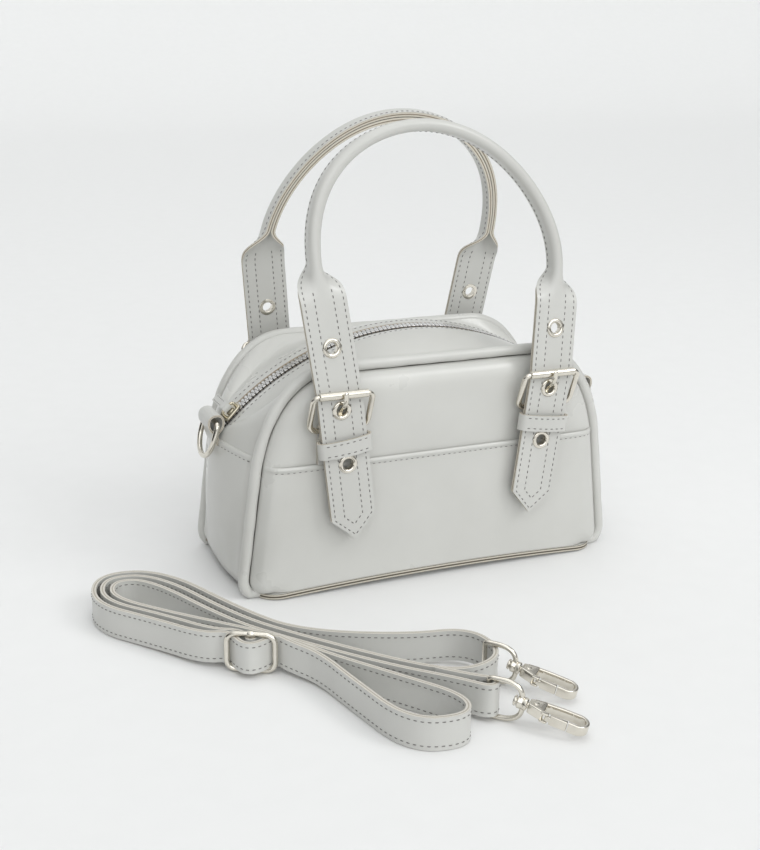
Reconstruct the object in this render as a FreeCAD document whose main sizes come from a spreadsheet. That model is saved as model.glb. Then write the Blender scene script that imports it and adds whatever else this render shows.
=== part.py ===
"""Top handle bag with two buckled handles, a zipped top and a detachable shoulder strap.

Millimetres. X runs to the right of the bag's front, Y to its back and Z up. The origin is the
middle of the base, on the surface that the bag stands on. Every driving size is a cell of the
spreadsheet "sizes", and each piece takes its size and place from those cells.
"""

import FreeCAD, Part
import math
import os
import Sketcher

Vector = FreeCAD.Vector
Placement = FreeCAD.Placement
Rotation = FreeCAD.Rotation

X_AXIS = Vector(1, 0, 0)
Y_AXIS = Vector(0, 1, 0)
Z_AXIS = Vector(0, 0, 1)
ORIGIN = Vector(0, 0, 0)
STRAIGHT = Rotation()
QUARTER_TURN = 90
HALF_TURN = 180
FULL_TURN = 360

# Driving sizes in millimetres, with angles in degrees and shares as plain ratios.
SIZES = {
    # Front and back panels: half widths, heights and the pillow of the leather.
    "panel_half_foot": 110.0,
    "panel_half_shoulder": 101.0,
    "shoulder_height": 70.0,
    "panel_height": 122.0,
    "corner_run": 42.0,
    "seam_depth": 40.3,
    "panel_face": 48.0,
    "pillow_run": 14.0,
    "leather": 1.6,
    "seam_height": 75.4,
    "seam_gap": 0.3,
    "overrun": 4.0,
    # Gusset band between the panels, its piping and the base.
    "gusset_half_depth": 36.7,
    "gusset_grow": 3.5,
    "gusset_half_foot": 113.5,
    "gusset_half_shoulder": 115.0,
    "gusset_shoulder": 72.0,
    "piping_radius": 3.0,
    "piping_depth": 40.0,
    "base_lap": 2.0,
    "base_inset": 0.4,
    "base_corner": 10.0,
    "board_ply": 1.8,
    "board_inset": 11.0,
    "lining_ply": 0.6,
    "lining_inset": 2.4,
    # Zip along one arc over the top.
    "crown_rise": 14.0,
    "crown_radius": 153.0,
    "crown_angle": 47.0,
    "slot_half": 5.2,
    "slot_floor": 87.0,
    "tape_drop": 3.0,
    "tape_ply": 0.6,
    "tape_half": 9.0,
    "tape_angle": 46.4,
    "tooth_drop": 1.4,
    "tooth_tall": 2.6,
    "tooth_half": 2.9,
    "tooth_part": 0.8,
    "tooth_angle": 45.5,
    "stop_angle": 46.0,
    "stop_long": 1.2,
    "slider_angle": 43.4,
    "slider_long": 11.0,
    "slider_half": 4.4,
    "slider_plate": 1.5,
    "bridge_half": 0.5,
    "bridge_long": 3.0,
    "bail_rise": 2.8,
    "bail_radius": 0.8,
    "bail_half": 5.0,
    "bail_post": 1.6,
    "pull_long": 20.0,
    "pull_half": 3.0,
    "pull_ply": 2.4,
    "pull_eye": 2.0,
    # Rings at the two ends and the leather tabs that hold them.
    "ring_span": 116.0,
    "ring_height": 91.0,
    "ring_wire": 1.5,
    "ring_half": 12.2,
    "ring_arm": 8.5,
    "ring_slip": 0.5,
    "ring_swing_angle": 16.0,
    "tab_roll": 4.6,
    "tab_half": 9.5,
    "tab_stem": 3.0,
    "tab_foot": 79.0,
    "tab_stand": 0.3,
    # Handle straps and grips.
    "strap_half": 13.0,
    "strap_ply": 2.6,
    "leg_span": 63.2,
    "leg_slant_angle": 6.9,
    "handle_lean_angle": 9.0,
    "handle_rise": 136.2,
    "grip_thick": 6.0,
    "grip_deep": 10.5,
    "shoulder_drop": 11.1,
    "neck_lap": 8.9,
    "neck_half": 4.5,
    "leg_start": 0.5,
    "tail_drop": 2.2,
    "tail_reach": 82.2,
    "upper_hole_rise": 24.6,
    "prong_hole_drop": 9.0,
    "lower_hole_drop": 39.0,
    "eyelet_radius": 5.3,
    "eyelet_bore": 2.9,
    "eyelet_wall": 0.35,
    "eyelet_flange": 0.7,
    "eyelet_fit": 0.2,
    # Buckles: frame wire, roller, prong, folded chape and keeper loop.
    "buckle_shift": 1.2,
    "roller_height": 115.6,
    "frame_fall": 21.0,
    "frame_wire": 1.25,
    "frame_half": 16.5,
    "roller_radius": 2.2,
    "roller_bore": 1.4,
    "roller_half": 13.8,
    "roller_gap": 0.4,
    "chape_stand": 0.8,
    "chape_ply": 1.2,
    "chape_half": 11.0,
    "chape_stem": 3.0,
    "chape_slot_half": 2.2,
    "chape_slot_deep": 7.0,
    "prong_radius": 0.8,
    "prong_slip": 0.2,
    "prong_clear": 0.35,
    "prong_angle": 60.0,
    "prong_reach": 8.4,
    "prong_tip": 6.6,
    "prong_tip_angle": 2.0,
    "keeper_drop": 29.0,
    "keeper_tall": 9.0,
    "keeper_wall": 1.5,
    "keeper_side_fit": 0.6,
    "keeper_face_fit": 0.35,
    # Shoulder strap, its adjuster and its two snap hooks.
    "band_wide": 16.0,
    "band_thick": 2.6,
    "band_floor": 3.0,
    "fitting_wire": 1.2,
    "fitting_fit": 0.35,
    "adjuster_half": 11.8,
    "loop_slip": 0.3,
    "eye_arm": 6.4,
    "collar_radius": 3.0,
    "collar_long": 5.0,
    "stud_radius": 1.5,
    "stud_slip": 0.2,
    "stud_head": 2.6,
    "stud_head_long": 1.2,
    "hook_gap": 0.4,
    "hook_tilt_angle": 12.0,
    "housing_long": 8.0,
    "housing_half": 5.6,
    "housing_half_tall": 2.6,
    "hook_arm": 1.6,
    "hook_half": 5.2,
    "hook_bend": 25.0,
    "hook_nose": 2.6,
    "gate_pivot": 11.5,
    "gate_half": 1.2,
    "gate_half_tall": 1.3,
    "gate_pin": 0.8,
    "gate_slip": 0.2,
    "gate_gap": 0.4,
    "ear_long": 4.4,
    "ear_ply": 1.1,
}

# How far a corner's curve handle reaches, as a share of the corner.
CORNER_SHARE = 0.55
CROWN_CORNER_SHARE = 0.4
# Pillow of a panel: share of its run and of its depth, from the seam to the flat face.
PILLOW_SHARES = ((0.0, 0.0), (0.12, 0.4), (0.36, 0.76), (1.0, 1.0))
# The strap's route turns within this share of its shorter neighbouring run.
ROUTE_TURN_SHARE = 0.48

# Route of the shoulder strap on the floor, X and Y of each turning point, chosen by hand.
# It starts at the adjuster's middle bar, runs round the left end to the rear hook, comes back
# beside itself, goes through the adjuster, turns at the right and left and ends at the front hook.
STRAP_ROUTE = (
    (-133.4, -118.3),
    (-136.1, -110.5),
    (-147.5, -104.3),
    (-165.0, -77.6),
    (-191.4, -47.4),
    (-182.8, -20.2),
    (-155.6, -27.6),
    (-131.2, -89.6),
    (-110.5, -120.0),
    (-68.0, -172.5),
    (-49.0, -187.0),
    (-27.5, -179.0),
    (-29.5, -149.0),
    (-62.0, -141.0),
    (-107.0, -117.0),
    (-128.0, -88.0),
    (-152.6, -24.2),
    (-185.6, -15.6),
    (-195.6, -48.4),
    (-168.0, -80.0),
    (-153.2, -106.5),
    (-140.9, -110.2),
    (-139.6, -124.2),
    (-133.3, -127.7),
    (-121.1, -121.1),
    (-117.2, -130.2),
    (-107.0, -145.0),
    (-101.5, -172.0),
    (-91.5, -215.5),
    (-64.0, -222.0),
    (-57.5, -206.0),
    (-79.0, -177.5),
    (-103.0, -144.5),
    (-116.4, -121.8),
    (-136.4, -100.0),
    (-162.0, -74.2),
    (-186.4, -45.8),
    (-179.6, -25.0),
    (-159.2, -31.6),
    (-134.6, -91.0),
    (-113.5, -122.6),
    (-80.0, -163.5),
    (-56.4, -192.2),
    (-48.0, -206.3),
    (-41.0, -200.3),
    (-52.6, -191.2),
    (-63.0, -178.9),
)
# Places of the fittings on that route and the way that each faces, in degrees from X.
ADJUSTER_PLACE = (-133.5, -120.5)
ADJUSTER_TURN = -28.4
REAR_HOOK_PLACE = (-32.4, -168.8)
REAR_HOOK_TURN = -48.7
FRONT_HOOK_PLACE = (-46.8, -200.4)
FRONT_HOOK_TURN = -44.6

doc = FreeCAD.newDocument("top_handle_bag")
sheet = doc.addObject("Spreadsheet::Sheet", "sizes")
for row, (alias, size) in enumerate(SIZES.items(), start=1):
    sheet.set(f"A{row}", str(size))
    sheet.setAlias(f"A{row}", alias)
doc.recompute()

# Sizes that follow from others, written once as expressions.
PIPING_GROW = "(sizes.piping_radius + sizes.seam_gap)"
FOOT_HEIGHT = "(sizes.leather + sizes.seam_gap)"
BASE_HALF_LENGTH = "(sizes.panel_half_foot + sizes.base_lap)"
BASE_HALF_WIDTH = "(sizes.panel_face - sizes.base_inset)"
CROWN_HEIGHT = "(sizes.panel_height + sizes.crown_rise)"
CROWN_CENTRE = f"({CROWN_HEIGHT} - sizes.crown_radius)"
TOOTH_TOP = "(sizes.crown_radius - sizes.tooth_drop)"
TOOTH_FOOT = f"({TOOTH_TOP} - sizes.tooth_tall)"
TAPE_TOP = "(sizes.crown_radius - sizes.tape_drop)"
SLIDER_TOP = f"({TOOTH_TOP} + sizes.seam_gap + sizes.slider_plate)"
BAIL_RADIUS = f"({SLIDER_TOP} + sizes.bail_rise)"
CHAPE_RADIUS = "(sizes.frame_wire + sizes.prong_slip + sizes.chape_ply)"
BAR_DEPTH = f"(sizes.panel_face + sizes.chape_stand + {CHAPE_RADIUS})"
PRONG_LOOP = "(sizes.frame_wire + sizes.prong_slip + sizes.prong_radius)"
STRAP_BACK = f"({BAR_DEPTH} + {PRONG_LOOP} + sizes.prong_radius + sizes.prong_clear)"
STRAP_DEPTH = f"({STRAP_BACK} + sizes.strap_ply / 2)"
ROLLER_TO_STRAP = "(sizes.roller_radius + sizes.roller_gap + sizes.strap_ply / 2)"
ROLLER_DEPTH = f"({STRAP_DEPTH} + {ROLLER_TO_STRAP})"
FRAME_LONG = f"hypot({ROLLER_DEPTH} - {BAR_DEPTH}; sizes.frame_fall)"
BAR_HEIGHT = "(sizes.roller_height - sizes.frame_fall)"
ARCH_CENTRE = (
    "((sizes.handle_rise - sizes.leg_span * cos(sizes.leg_slant_angle)) / (1 + sin(sizes.leg_slant_angle)))"
)
ARCH_RADIUS = f"(sizes.handle_rise - {ARCH_CENTRE})"
ARCH_START = f"({ARCH_CENTRE} - {ARCH_RADIUS} * sin(sizes.leg_slant_angle))"
BUCKLE_SPAN = "(sizes.leg_span - sizes.buckle_shift)"
STRAP_HALF_ACROSS = "(sizes.strap_half / cos(sizes.leg_slant_angle))"
BARREL_RADIUS = "(sizes.eyelet_bore + sizes.eyelet_wall)"
STRAP_HOLE = f"({BARREL_RADIUS} + sizes.eyelet_fit)"
EYE_HALF = "(sizes.band_wide / 2 + sizes.fitting_fit + sizes.fitting_wire)"
BAND_MIDDLE = "(sizes.band_floor + sizes.band_wide / 2)"
COLLAR_PLACE = f"(sizes.eye_arm + {EYE_HALF})"
HOUSING_START = "(sizes.collar_long / 2 + sizes.hook_gap)"
NOSE_END = "(sizes.hook_bend - sizes.hook_nose)"


def value(expression):
    """The number that an expression of the sheet's cells gives."""
    return float(sheet.evalExpression(expression))


def size(alias):
    """The number in one cell of the sheet."""
    return float(sheet.get(alias))


def bind(feature, **expressions):
    """Tie properties of a feature to expressions and return the feature."""
    for name, expression in expressions.items():
        feature.setExpression(name, expression)
    return feature


def slide_to(feature, x="0", y="0", z="0"):
    """Tie the place of a feature to expressions and return the feature."""
    for name, expression in (("x", x), ("y", y), ("z", z)):
        feature.setExpression(f"Placement.Base.{name}", expression)
    return feature


def box(name, x, y, z):
    """A box between pairs of expressions along X, Y and Z."""
    solid = doc.addObject("Part::Box", name)
    bind(
        solid,
        Length=f"{x[1]} - ({x[0]})",
        Width=f"{y[1]} - ({y[0]})",
        Height=f"{z[1]} - ({z[0]})",
    )
    return slide_to(solid, x[0], y[0], z[0])


def rod(name, radius, long, axis=Z_AXIS, x="0", y="0", z="0"):
    """A round rod of an expression's radius and length that starts at a place and follows an axis."""
    solid = doc.addObject("Part::Cylinder", name)
    bind(solid, Radius=radius, Height=long)
    solid.Placement = Placement(ORIGIN, Rotation(Z_AXIS, axis))
    return slide_to(solid, x, y, z)


def rod_between(name, radius, start, end):
    """A round rod from one point to another."""
    solid = doc.addObject("Part::Cylinder", name)
    bind(solid, Radius=radius)
    solid.Height = (end - start).Length
    solid.Placement = Placement(start, Rotation(Z_AXIS, end - start))
    return solid


def ball(name, radius, place):
    """A ball round a point, to round off the meeting of two rods."""
    solid = doc.addObject("Part::Sphere", name)
    bind(solid, Radius=radius)
    solid.Placement = Placement(place, STRAIGHT)
    return solid


def fuse(label, solids):
    """Several solids joined to one piece."""
    joined = doc.addObject("Part::MultiFuse", label)
    joined.Shapes = solids
    joined.Label = label
    return joined


def cut(label, base, tool):
    """One solid less another."""
    left = doc.addObject("Part::Cut", label)
    left.Base = base
    left.Tool = tool
    left.Label = label
    return left


def group(label, pieces):
    """Separate solids that share one node."""
    compound = doc.addObject("Part::Compound", label)
    compound.Links = pieces
    compound.Label = label
    return compound


def placed(label, pieces, placement):
    """Pieces carried together to a place."""
    carried = group(label, pieces)
    carried.Placement = placement
    return carried


def shaped(label, shape):
    """A piece whose shape is worked out from the sheet with solid operations."""
    feature = doc.addObject("Part::Feature", label)
    feature.Shape = shape
    feature.Label = label
    return feature


def new_body(label):
    """An empty body with a label."""
    body = doc.addObject("PartDesign::Body", label)
    body.Label = label
    return body


def new_sketch(body, role, name):
    """A sketch on one of a body's own origin planes."""
    plane = next(part for part in body.Origin.OriginFeatures if part.Role == role)
    sketch = body.newObject("Sketcher::SketchObject", name)
    sketch.AttachmentSupport = [(plane, "")]
    sketch.MapMode = "FlatFace"
    return sketch


def pin_point(sketch, geometry, end, x, y):
    """Hold one point of a sketch at two expressions."""
    for kind, expression in (("DistanceX", x), ("DistanceY", y)):
        rule = Sketcher.Constraint(kind, -1, 1, geometry, end, value(expression))
        number = sketch.addConstraint(rule)
        sketch.setExpression(f"Constraints[{number}]", expression)


def draw_polygon(sketch, corners):
    """A closed polygon whose corners are pairs of expressions."""
    places = [Vector(value(x), value(y), 0) for x, y in corners]
    first = sketch.GeometryCount
    count = len(corners)
    for index, place in enumerate(places):
        sketch.addGeometry(Part.LineSegment(place, places[(index + 1) % count]))
    for index in range(count):
        following = first + (index + 1) % count
        sketch.addConstraint(Sketcher.Constraint("Coincident", first + index, 2, following, 1))
    for index, (x, y) in enumerate(corners):
        pin_point(sketch, first + index, 1, x, y)


def draw_circle(sketch, x, y, radius):
    """A circle whose centre and radius are expressions."""
    centre = Vector(value(x), value(y), 0)
    number = sketch.addGeometry(Part.Circle(centre, Z_AXIS, value(radius)))
    rule = sketch.addConstraint(Sketcher.Constraint("Radius", number, value(radius)))
    sketch.setExpression(f"Constraints[{rule}]", radius)
    pin_point(sketch, number, 3, x, y)


def pad_both_ways(body, sketch, long):
    """Pad a sketch evenly to both sides by an expression's length."""
    pad = body.newObject("PartDesign::Pad", f"{body.Name}_pad")
    pad.Profile = sketch
    pad.SideType = "Symmetric"
    pad.setExpression("Length", long)
    sketch.Visibility = False
    return pad


def pocket_through(body, sketch):
    """Cut a sketch through the whole body, to both sides."""
    pocket = body.newObject("PartDesign::Pocket", f"{body.Name}_pocket")
    pocket.Profile = sketch
    pocket.Type = "ThroughAll"
    pocket.Midplane = True
    sketch.Visibility = False
    return pocket


def slab(x, y, z):
    """A plain box shape between pairs of numbers, used to keep one region of a shape."""
    long, wide, tall = x[1] - x[0], y[1] - y[0], z[1] - z[0]
    return Part.makeBox(long, wide, tall, Vector(x[0], y[0], z[0]))


# Outlines in the XZ plane. Each is a closed wire of six edges in the same order, so that any
# two of them can be lofted: base, left side, left corner, top, right corner, right side.


def curve(points):
    """An edge along a cubic curve with four control points."""
    bezier = Part.BezierCurve()
    bezier.setPoles(points)
    return bezier.toShape()


def mirrored(point):
    """A point on the other side of the bag's middle plane."""
    return Vector(-point.x, point.y, point.z)


def outline_wire(foot, shoulder, near_shoulder, near_top, top, crown=None):
    """A closed wire from the points of its right half, with a flat or an arched top.

    foot, shoulder and top are corners; near_shoulder and near_top are the handles of the corner's
    curve; crown is the highest point of an arched top.
    """
    left = [mirrored(point) for point in (foot, shoulder, near_shoulder, near_top, top)]
    if crown is None:
        over = Part.makeLine(left[4], top)
    else:
        over = Part.Arc(left[4], crown, top).toShape()
    edges = [
        Part.makeLine(foot, left[0]),
        Part.makeLine(left[0], left[1]),
        curve([left[1], left[2], left[3], left[4]]),
        over,
        curve([top, near_top, near_shoulder, shoulder]),
        Part.makeLine(shoulder, foot),
    ]
    return Part.Wire(edges)


def panel_points(grow, depth, floor):
    """Points of a panel's right half, grown outwards, at a depth along Y and from a floor height."""
    foot = Vector(size("panel_half_foot") + grow, depth, floor)
    shoulder = Vector(size("panel_half_shoulder") + grow, depth, size("shoulder_height"))
    top = Vector(size("panel_half_shoulder") - size("corner_run"), depth, size("panel_height") + grow)
    up = (shoulder - foot).normalize()
    near_shoulder = shoulder + up * (top.z - shoulder.z) * CORNER_SHARE
    near_top = top + X_AXIS * (shoulder.x - top.x) * CORNER_SHARE
    return foot, shoulder, near_shoulder, near_top, top


def crown_points(grow, floor):
    """Points of the gusset's right half in the middle plane, where the zip's arc runs."""
    foot = Vector(size("gusset_half_foot") + grow, 0, floor)
    shoulder = Vector(size("gusset_half_shoulder") + grow, 0, size("gusset_shoulder"))
    angle = math.radians(size("crown_angle"))
    radius = size("crown_radius") + grow
    centre = Vector(0, 0, value(CROWN_CENTRE))
    top = centre + Vector(math.sin(angle), 0, math.cos(angle)) * radius
    along = Vector(math.cos(angle), 0, -math.sin(angle))
    reach = (top - shoulder).Length * CROWN_CORNER_SHARE
    up = (shoulder - foot).normalize()
    crown = centre + Z_AXIS * radius
    return foot, shoulder, shoulder + up * reach, top + along * reach, top, crown


def gusset_solid(grow, half_depth, floor):
    """The gusset's whole outer form, grown outwards, between two depths."""
    side = size("gusset_grow") + grow
    wires = [
        outline_wire(*panel_points(side, -half_depth, floor)),
        outline_wire(*crown_points(grow, floor)),
        outline_wire(*panel_points(side, half_depth, floor)),
    ]
    return Part.makeLoft(wires, True, False)


def panel_solid(ply, floor):
    """A panel's pillow form at the front, taken in by a ply, from the seam to its flat face."""
    wires = []
    deep = size("panel_face") - size("seam_depth")
    for run_share, depth_share in PILLOW_SHARES:
        depth = -size("seam_depth") - deep * depth_share + ply
        grow = -size("pillow_run") * run_share - ply
        wires.append(outline_wire(*panel_points(grow, depth, floor)))
    return Part.makeLoft(wires, True, True)


REACH = size("panel_half_foot") + size("panel_height") + value(CROWN_HEIGHT)
EVERYWHERE = (-REACH, REACH)


def build_panels():
    """Front and back panels, each an upper and a lower shell that meet at the cross seam."""
    floor = value(FOOT_HEIGHT)
    shell = panel_solid(0, floor).cut(panel_solid(size("leather"), floor - size("overrun")))
    seam = size("seam_height")
    upper = shell.common(slab(EVERYWHERE, EVERYWHERE, (seam + size("seam_gap"), REACH)))
    lower = shell.common(slab(EVERYWHERE, EVERYWHERE, (-REACH, seam)))
    about = Placement(ORIGIN, Rotation(Z_AXIS, HALF_TURN))
    pieces = []
    for name, shape in (("panel_upper", upper), ("panel_lower", lower)):
        pieces.append(shaped(f"front_{name}", shape))
        back = shaped(f"back_{name}", shape)
        back.Placement = about
        pieces.append(back)
    return pieces


def build_gussets():
    """The band between the panels: two lower sides and two top halves beside the zip."""
    floor = value(FOOT_HEIGHT)
    half_depth = size("gusset_half_depth")
    inner = gusset_solid(-size("leather"), half_depth, floor - size("overrun"))
    shell = gusset_solid(0, half_depth, floor).cut(inner)
    seam = size("seam_height")
    top = shell.common(slab(EVERYWHERE, EVERYWHERE, (seam + size("seam_gap"), REACH)))
    slot_half = size("slot_half")
    top = top.cut(slab(EVERYWHERE, (-slot_half, slot_half), (size("slot_floor"), REACH)))
    regions = {
        "left_side_gusset": (shell, (-REACH, 0), EVERYWHERE, (-REACH, seam)),
        "right_side_gusset": (shell, (0, REACH), EVERYWHERE, (-REACH, seam)),
        "front_top_gusset": (top, EVERYWHERE, (-REACH, -size("seam_gap") / 2), EVERYWHERE),
        "back_top_gusset": (top, EVERYWHERE, (size("seam_gap") / 2, REACH), EVERYWHERE),
    }
    pieces = []
    for label, (source, x, y, z) in regions.items():
        pieces.append(shaped(label, source.common(slab(x, y, z))))
    return pieces


def build_piping():
    """Round piping in the seam between each panel and the gusset, open along the base."""
    floor = value(FOOT_HEIGHT) + size("piping_radius") / 2
    points = panel_points(value(PIPING_GROW), -size("piping_depth"), floor)
    edges = outline_wire(*points).Edges[1:]
    path = Part.Wire(edges)
    start = mirrored(points[0])
    along = path.Edges[0].tangentAt(path.Edges[0].FirstParameter)
    circle = Part.Wire(Part.makeCircle(size("piping_radius"), start, along))
    sweep = Part.BRepOffsetAPI.MakePipeShell(path)
    sweep.setBiNormalMode(Y_AXIS)
    sweep.setTransitionMode(1)
    sweep.add(circle)
    sweep.build()
    sweep.makeSolid()
    front = shaped("front_piping", sweep.shape())
    back = shaped("back_piping", sweep.shape())
    back.Placement = Placement(ORIGIN, Rotation(Z_AXIS, HALF_TURN))
    return [front, back]


def rounded_plate(label, half_long, half_wide, ply, bottom):
    """A flat plate with rounded corners, of half sizes, a thickness and a height."""
    body = new_body(label)
    sketch = new_sketch(body, "XY_Plane", f"{label}_outline")
    corners = [
        (f"-{half_long}", f"-{half_wide}"),
        (half_long, f"-{half_wide}"),
        (half_long, half_wide),
        (f"-{half_long}", half_wide),
    ]
    draw_polygon(sketch, corners)
    pad = body.newObject("PartDesign::Pad", f"{label}_pad")
    pad.Profile = sketch
    pad.setExpression("Length", ply)
    sketch.Visibility = False
    doc.recompute()
    upright = []
    for number, edge in enumerate(pad.Shape.Edges, start=1):
        direction = edge.tangentAt(edge.FirstParameter)
        if abs(direction.dot(Z_AXIS)) > math.cos(math.radians(1)):
            upright.append(f"Edge{number}")
    fillet = body.newObject("PartDesign::Fillet", f"{label}_corners")
    fillet.Base = (pad, upright)
    fillet.setExpression("Radius", "sizes.base_corner")
    return slide_to(body, z=bottom)


def build_base():
    """The leather base that the bag stands on and the stiff board above it."""
    base = rounded_plate(
        "base_panel", BASE_HALF_LENGTH, BASE_HALF_WIDTH, "sizes.leather", "0"
    )
    board = rounded_plate(
        "base_board",
        f"({BASE_HALF_LENGTH} - sizes.board_inset)",
        f"({BASE_HALF_WIDTH} - sizes.board_inset)",
        "sizes.board_ply",
        FOOT_HEIGHT,
    )
    return [base, board]


def build_lining():
    """A thin sack inside the shell, open along the zip."""
    floor = value(FOOT_HEIGHT) + size("board_ply") + size("seam_gap")
    inset = size("lining_inset")
    ply = size("lining_ply")
    half_depth = size("gusset_half_depth")
    outer = lining_solid(inset, half_depth, floor)
    inner = lining_solid(inset + ply, half_depth - ply, floor + ply)
    mouth_half = size("tape_half")
    mouth = slab(EVERYWHERE, (-mouth_half, mouth_half), (size("slot_floor"), REACH))
    return [shaped("lining", outer.cut(inner).cut(mouth))]


def lining_solid(inset, half_depth, floor):
    """The lining's form: the gusset's, taken in by an inset and by the slider's depth under the zip."""
    drop = size("tape_drop") + size("tape_ply") + size("slider_plate") + size("seam_gap")
    side = size("gusset_grow") - inset
    wires = [
        outline_wire(*panel_points(side, -half_depth, floor)),
        outline_wire(*crown_points(-inset - drop, floor)),
        outline_wire(*panel_points(side, half_depth, floor)),
    ]
    return Part.makeLoft(wires, True, False)


def arc_band(label, inner, outer, start_depth, wide, half_angle):
    """A band of the zip: a ring sector about the zip's centre, even to both sides of the top."""
    sector = doc.addObject("Part::Cylinder", f"{label}_sector")
    bind(sector, Radius=outer, Height=wide, Angle=f"2 * {half_angle}")
    hollow = doc.addObject("Part::Cylinder", f"{label}_hollow")
    bind(hollow, Radius=inner, Height=wide)
    start = -QUARTER_TURN - value(half_angle)
    onto_depth = Rotation(X_AXIS, -QUARTER_TURN)
    sector.Placement = Placement(ORIGIN, onto_depth.multiply(Rotation(Z_AXIS, start)))
    hollow.Placement = Placement(ORIGIN, onto_depth)
    for solid in (sector, hollow):
        slide_to(solid, "0", start_depth, CROWN_CENTRE)
    return cut(label, sector, hollow)


def zip_place(angle):
    """The frame of a piece drawn above the zip's centre, turned to an angle along the zip."""
    return Placement(Vector(0, 0, value(CROWN_CENTRE)), Rotation(Y_AXIS, angle))


def build_zip():
    """Tapes, rows of teeth, end stops, the slider with its bail and the pull."""
    tape_start = "(sizes.tooth_half + sizes.tooth_part / 2)"
    tape_wide = f"(sizes.tape_half - {tape_start})"
    tape = (f"({TAPE_TOP} - sizes.tape_ply)", TAPE_TOP)
    tooth = (TOOTH_FOOT, TOOTH_TOP)
    tooth_wide = "(sizes.tooth_half - sizes.tooth_part)"
    pieces = [
        arc_band("front_zip_tape", *tape, "-sizes.tape_half", tape_wide, "sizes.tape_angle"),
        arc_band("back_zip_tape", *tape, tape_start, tape_wide, "sizes.tape_angle"),
        arc_band("front_zip_teeth", *tooth, "-sizes.tooth_half", tooth_wide, "sizes.tooth_angle"),
        arc_band("back_zip_teeth", *tooth, "sizes.tooth_part", tooth_wide, "sizes.tooth_angle"),
    ]
    across = ("-sizes.tooth_half", "sizes.tooth_half")
    stops = []
    for name, side in (("left_stop", -1), ("right_stop", 1)):
        stop = box(name, ("-sizes.stop_long / 2", "sizes.stop_long / 2"), across, tooth)
        stops.append(placed(f"{name}_clamp", [stop], zip_place(side * size("stop_angle"))))
    pieces.append(group("zip_stops", stops))
    return pieces + build_slider()


def build_slider():
    """The slider's two plates, the bridge between them and the bail, with the leather pull."""
    along = ("-sizes.slider_long / 2", "sizes.slider_long / 2")
    across = ("-sizes.slider_half", "sizes.slider_half")
    upper = box("slider_upper", along, across, (f"{SLIDER_TOP} - sizes.slider_plate", SLIDER_TOP))
    under = f"({TOOTH_FOOT} - sizes.seam_gap)"
    lower = box("slider_lower", along, across, (f"{under} - sizes.slider_plate", under))
    bridge = box(
        "slider_bridge",
        ("-sizes.slider_long / 2", "sizes.bridge_long - sizes.slider_long / 2"),
        ("-sizes.bridge_half", "sizes.bridge_half"),
        (f"{under} - sizes.slider_plate / 2", f"{SLIDER_TOP} - sizes.slider_plate / 2"),
    )
    parts = [upper, lower, bridge]
    for name, near, far in (
        ("bail_post_low", "-sizes.bail_half", "sizes.bail_post - sizes.bail_half"),
        ("bail_post_high", "sizes.bail_half - sizes.bail_post", "sizes.bail_half"),
    ):
        tall = (f"{SLIDER_TOP} - sizes.slider_plate / 2", f"{BAIL_RADIUS} + sizes.bail_radius")
        parts.append(box(name, (near, far), ("-sizes.bail_radius", "sizes.bail_radius"), tall))
    long = "2 * sizes.bail_half"
    parts.append(rod("bail_bar", "sizes.bail_radius", long, X_AXIS, "-sizes.bail_half", "0", BAIL_RADIUS))
    slider = fuse("zip_slider", parts)
    across = "2 * sizes.pull_half"
    eye = rod("pull_eye_outer", "sizes.pull_eye", across, X_AXIS, "-sizes.pull_half", "0", BAIL_RADIUS)
    strip = box(
        "pull_strip",
        ("-sizes.pull_half", "sizes.pull_half"),
        ("0", "sizes.pull_long"),
        (f"{BAIL_RADIUS} - sizes.pull_ply / 2", f"{BAIL_RADIUS} + sizes.pull_ply / 2"),
    )
    hole = rod(
        "pull_eye_hole",
        "sizes.bail_radius + sizes.seam_gap",
        "4 * sizes.pull_half",
        X_AXIS,
        "-2 * sizes.pull_half",
        "0",
        BAIL_RADIUS,
    )
    pull = cut("zip_pull", fuse("pull_blank", [eye, strip]), hole)
    for piece in (slider, pull):
        piece.Placement = zip_place(-size("slider_angle"))
    return [slider, pull]


def d_loop(label, half, arm, wire):
    """A wire loop shaped like a D: a bar along Y through the origin, two arms down and a half round."""
    arm_start = f"-({arm})"
    bar = rod(f"{label}_bar", wire, f"2 * {half}", Y_AXIS, "0", f"-({half})", "0")
    parts = [bar]
    for side, name in ((-1, "low"), (1, "high")):
        parts.append(rod(f"{label}_arm_{name}", wire, arm, Z_AXIS, "0", f"{side} * {half}", arm_start))
        parts.append(ball(f"{label}_bend_{name}", wire, Vector(0, side * value(half), 0)))
    bow = doc.addObject("Part::Torus", f"{label}_bow")
    bind(bow, Radius1=half, Radius2=wire)
    bow.Angle3 = HALF_TURN
    bow.Placement = Placement(ORIGIN, Rotation(Y_AXIS, -Z_AXIS, -X_AXIS, "XYZ"))
    slide_to(bow, "0", "0", arm_start)
    return fuse(label, parts + [bow])


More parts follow.
